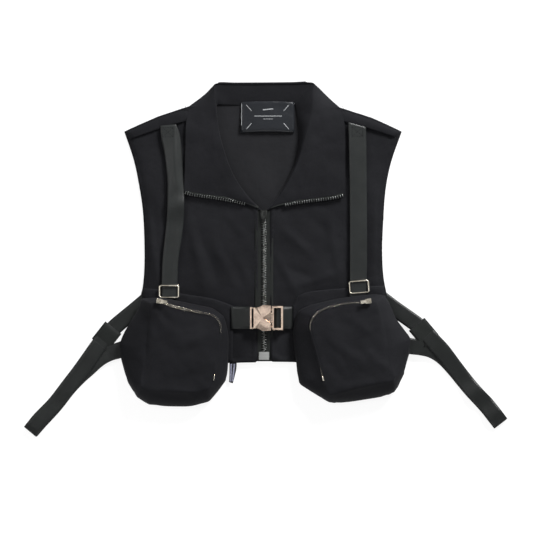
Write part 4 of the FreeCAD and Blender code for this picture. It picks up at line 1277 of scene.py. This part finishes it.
SIDE_WEB = {
    "left": {
        "upper": [(-178, -76, 2.6), (-202, -96, 2.8), (-226, -116, 3.6), (-243, -134, 7.2),
                  (-256, -151, 8.2), (-266, -165, 6.6), (-280, -184.5, 4.6), (-299, -209.5, 6.2),
                  (-318, -234, 4.2), (-340, -257, 9.6), (-349, -268, 10.4), (-356, -276.5, 7.2)],
        "lower": [(-196, -143, 7.4), (-219, -152, 7.0), (-236, -157, 7.6), (-252, -166, 5.6),
                  (-268, -180, 3.0), (-283, -193.5, 2.4), (-299, -210.5, 2.2), (-319, -236, 2.2),
                  (-342, -261, 2.2), (-355, -276, 2.4)],
    },
    "right": {
        "upper": [(176, -72, 2.6), (200, -90, 2.8), (231, -112, 3.6), (246, -126, 7.2),
                  (258, -139, 8.2), (272, -154, 6.6), (290, -178, 4.6), (307, -200, 4.2),
                  (322, -218, 8.4), (337.5, -234, 5.0), (351, -251, 8.8), (361, -264, 5.0)],
        "lower": [(200, -140, 7.4), (222, -146, 7.0), (238, -148, 7.6), (256, -152.5, 5.6),
                  (274, -164, 3.0), (291, -182, 2.4), (315, -211, 2.2), (338, -236, 2.2),
                  (350, -251, 2.2), (360.5, -264.5, 2.4)],
    },
}
SIDE_WEB_WIDTH = 24.5
SIDE_WEB_LENGTH = {"upper": 0.275, "lower": 0.214}
for side, sign in SIDES.items():
    place, across = across_joint(f"side_strap_lift_{side}", sign)
    for layer, length in SIDE_WEB_LENGTH.items():
        web = webbing_along(f"side_web_{layer}_{side}", SIDE_WEB[side][layer], SIDE_WEB_WIDTH,
                            STRAP_WEBBING)
        nodes = [f"side_webbing_{layer}_{side}"]
        if layer == "upper":
            nodes.append(f"side_strap_anchors_{side}")
        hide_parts(*nodes)
        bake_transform(web)


# The webbing doubles back over each adjuster and ends in a small roll.
FOLD_HALF_WIDTH = 15.4
FOLD_ROLL_RADIUS = 1.6
FOLD_RISE = 1.2
ROLL_SHARE = 0.86
for side in SIDES:
    low, high = (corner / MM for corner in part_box(f"side_adjuster_{side}"))
    centre = (low + high) / 2
    tail_way = Vector(joint_named(f"side_adjuster_slide_{side}")["axis"])
    across = Vector((-tail_way.y, tail_way.x, 0)) * FOLD_HALF_WIDTH
    top = high.z + FOLD_RISE
    path = [(-15.5, top - 1.6), (-10, top), (0, top + 0.3), (10, top), (16.5, top - 0.2)]
    spots = [Vector((centre.x, centre.y, 0)) + tail_way * place + Vector((0, 0, level))
             for place, level in path]
    rails = [[tuple(spot + across * edge) for spot in spots] for edge in (1, -1)]
    fold = web_strip(f"side_web_fold_{side}", rails, material=TAPE)
    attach(fold, f"side_adjuster_{side}")
    ends = [tuple(spots[-1] + across * share) for share in (ROLL_SHARE, -ROLL_SHARE)]
    roll = tube(f"side_web_roll_{side}", ends, FOLD_ROLL_RADIUS, WEBBING)
    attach(roll, f"side_adjuster_{side}")


# -------- metal and plastic parts

def refine(node, material, bevel, segments=2):
    """A CAD part gets its material; modifiers weld it and round its edges, its mesh stays."""
    part = frame["nodes"][node]
    part.data.materials.clear()
    part.data.materials.append(material)
    weld = part.modifiers.new("weld", "WELD")
    weld.merge_threshold = 0.00001
    rounding = part.modifiers.new("rounding", "BEVEL")
    rounding.width = bevel * MM
    rounding.segments = segments
    rounding.limit_method = "ANGLE"
    rounding.angle_limit = math.radians(35)
    rounding.harden_normals = True
    part.data.shade_smooth()


refine("buckle_female", GOLD, 0.5, 3)
refine("buckle_male", GOLD, 0.45, 3)
for level in ("upper", "lower"):
    refine(f"release_button_{level}", GOLD, 0.3)
refine("main_slider", BLACK_METAL, 0.35)
refine("main_pull", BLACK_METAL, 0.3)
refine("zip_retainer_box", CLEAR, 0.5)
for side in SIDES:
    refine(f"pouch_slider_{side}", PALE_GOLD, 0.3)
    refine(f"pouch_pull_{side}", PALE_GOLD, 0.3)
    refine(f"side_adjuster_{side}", BLACK_PLASTIC, 0.5)


# The strap rings are bent wire.
RING = {"left": ((-144.0, -63.0), 0.0), "right": ((144.5, -56.0), 4.5)}
RING_SIZE = (28.6, 18.0)
RING_CORNER = 2.6
RING_WIRE = 1.25
RING_LEVEL = 15.0
CORNER_STEPS = 6

for side in SIDES:
    (x, y), tilt = RING[side]
    turn = math.radians(tilt)
    half_x, half_y = RING_SIZE[0] / 2, RING_SIZE[1] / 2
    loop = []
    for corner_x, corner_y, start in ((half_x, half_y, 0), (-half_x, half_y, 90),
                                      (-half_x, -half_y, 180), (half_x, -half_y, 270)):
        centre_x = corner_x - math.copysign(RING_CORNER, corner_x)
        centre_y = corner_y - math.copysign(RING_CORNER, corner_y)
        for step in range(CORNER_STEPS):
            angle = math.radians(start + 90 * step / (CORNER_STEPS - 1))
            loop.append((centre_x + RING_CORNER * math.cos(angle),
                         centre_y + RING_CORNER * math.sin(angle)))
    turned = [(x + px * math.cos(turn) - py * math.sin(turn),
               y + px * math.sin(turn) + py * math.cos(turn), RING_LEVEL)
              for px, py in stepped(loop, 2.0, closed=True)]
    ring = tube(f"strap_ring_wire_{side}", turned, RING_WIRE, PALE_GOLD, closed=True)
    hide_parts(f"strap_ring_{side}")
    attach(ring, f"strap_ring_{side}")


# -------- topstitching

# How far each row of stitches lies from its seam or edge.
FRONT_ROWS = (2.2, 7.5)
ARMHOLE_ROW = 7.5
HEM_ROW = 9
YOKE_ROW = 2.0
SEAM_ROW = 2.2
LEAF_SIDE_ROW = 5.0
LEAF_LOWER_ROWS = (2.2, 7.0)
POUCH_ROW = 4.5
# A box with a cross holds the top of each shoulder webbing.
WEB_TACK = {"left": Vector((-146, 179)), "right": Vector((142, 180))}
WEB_TACK_BOX = [(-8, 7), (8, 7), (8, -7), (-8, -7), (-8, 7), (8, -7), (8, 7), (-8, -7)]
vest_top = surface_of(*[bpy.data.objects[f"{part}_{side}"] for side in SIDES
                        for part in ("front_cloth", "side_panel_cloth", "shoulder_yoke_cloth")])
for side, sign in SIDES.items():
    hem = HEM[side]
    rows = [[(sign * (FRONT_EDGE + distance), y) for y in (top, hem + 4)]
            for distance, top in zip(FRONT_ROWS, (52, 46))]
    rows += [offset_line(spline(ARMHOLE[side], 6), sign * ARMHOLE_ROW),
             [(sign * x, hem + HEM_ROW) for x in (12, 60)],
             offset_line(spline(YOKE_SEAM[side], 6), sign * YOKE_ROW),
             offset_line(spline(SIDE_SEAM[side], 6), sign * SEAM_ROW),
             [(sign * 50.0, y) for y in (-88, hem + 3)]]
    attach(stitches(f"front_stitches_{side}", rows, vest_top), "vest")
    leaf_edge = [station[2][:2] for station in COLLAR[side]]
    lower = spline(leaf_edge[7:10], 6)
    rows = [offset_line(spline(leaf_edge[4:8], 6), sign * LEAF_SIDE_ROW)]
    rows += [offset_line(lower, sign * distance) for distance in LEAF_LOWER_ROWS]
    bend_with_leaf(stitches(f"leaf_stitches_{side}", rows, surface_of(collar[side])), side)
    zip_line = spline(POUCH_ZIP[side], 6)
    rows = [offset_line(zip_line, distance) for distance in (POUCH_ROW, -POUCH_ROW)]
    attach(stitches(f"pouch_stitches_{side}", rows, pouch_surface[side]), "vest")
    web_top = surface_of(bpy.data.objects[f"shoulder_web_{side}"])
    box = [WEB_TACK[side] + Vector(corner) for corner in WEB_TACK_BOX]
    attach(stitches(f"web_stitches_{side}", [stepped(box, 4.0)], web_top), "vest")

for side in SIDES:
    bend_with_leaf(collar[side], side)
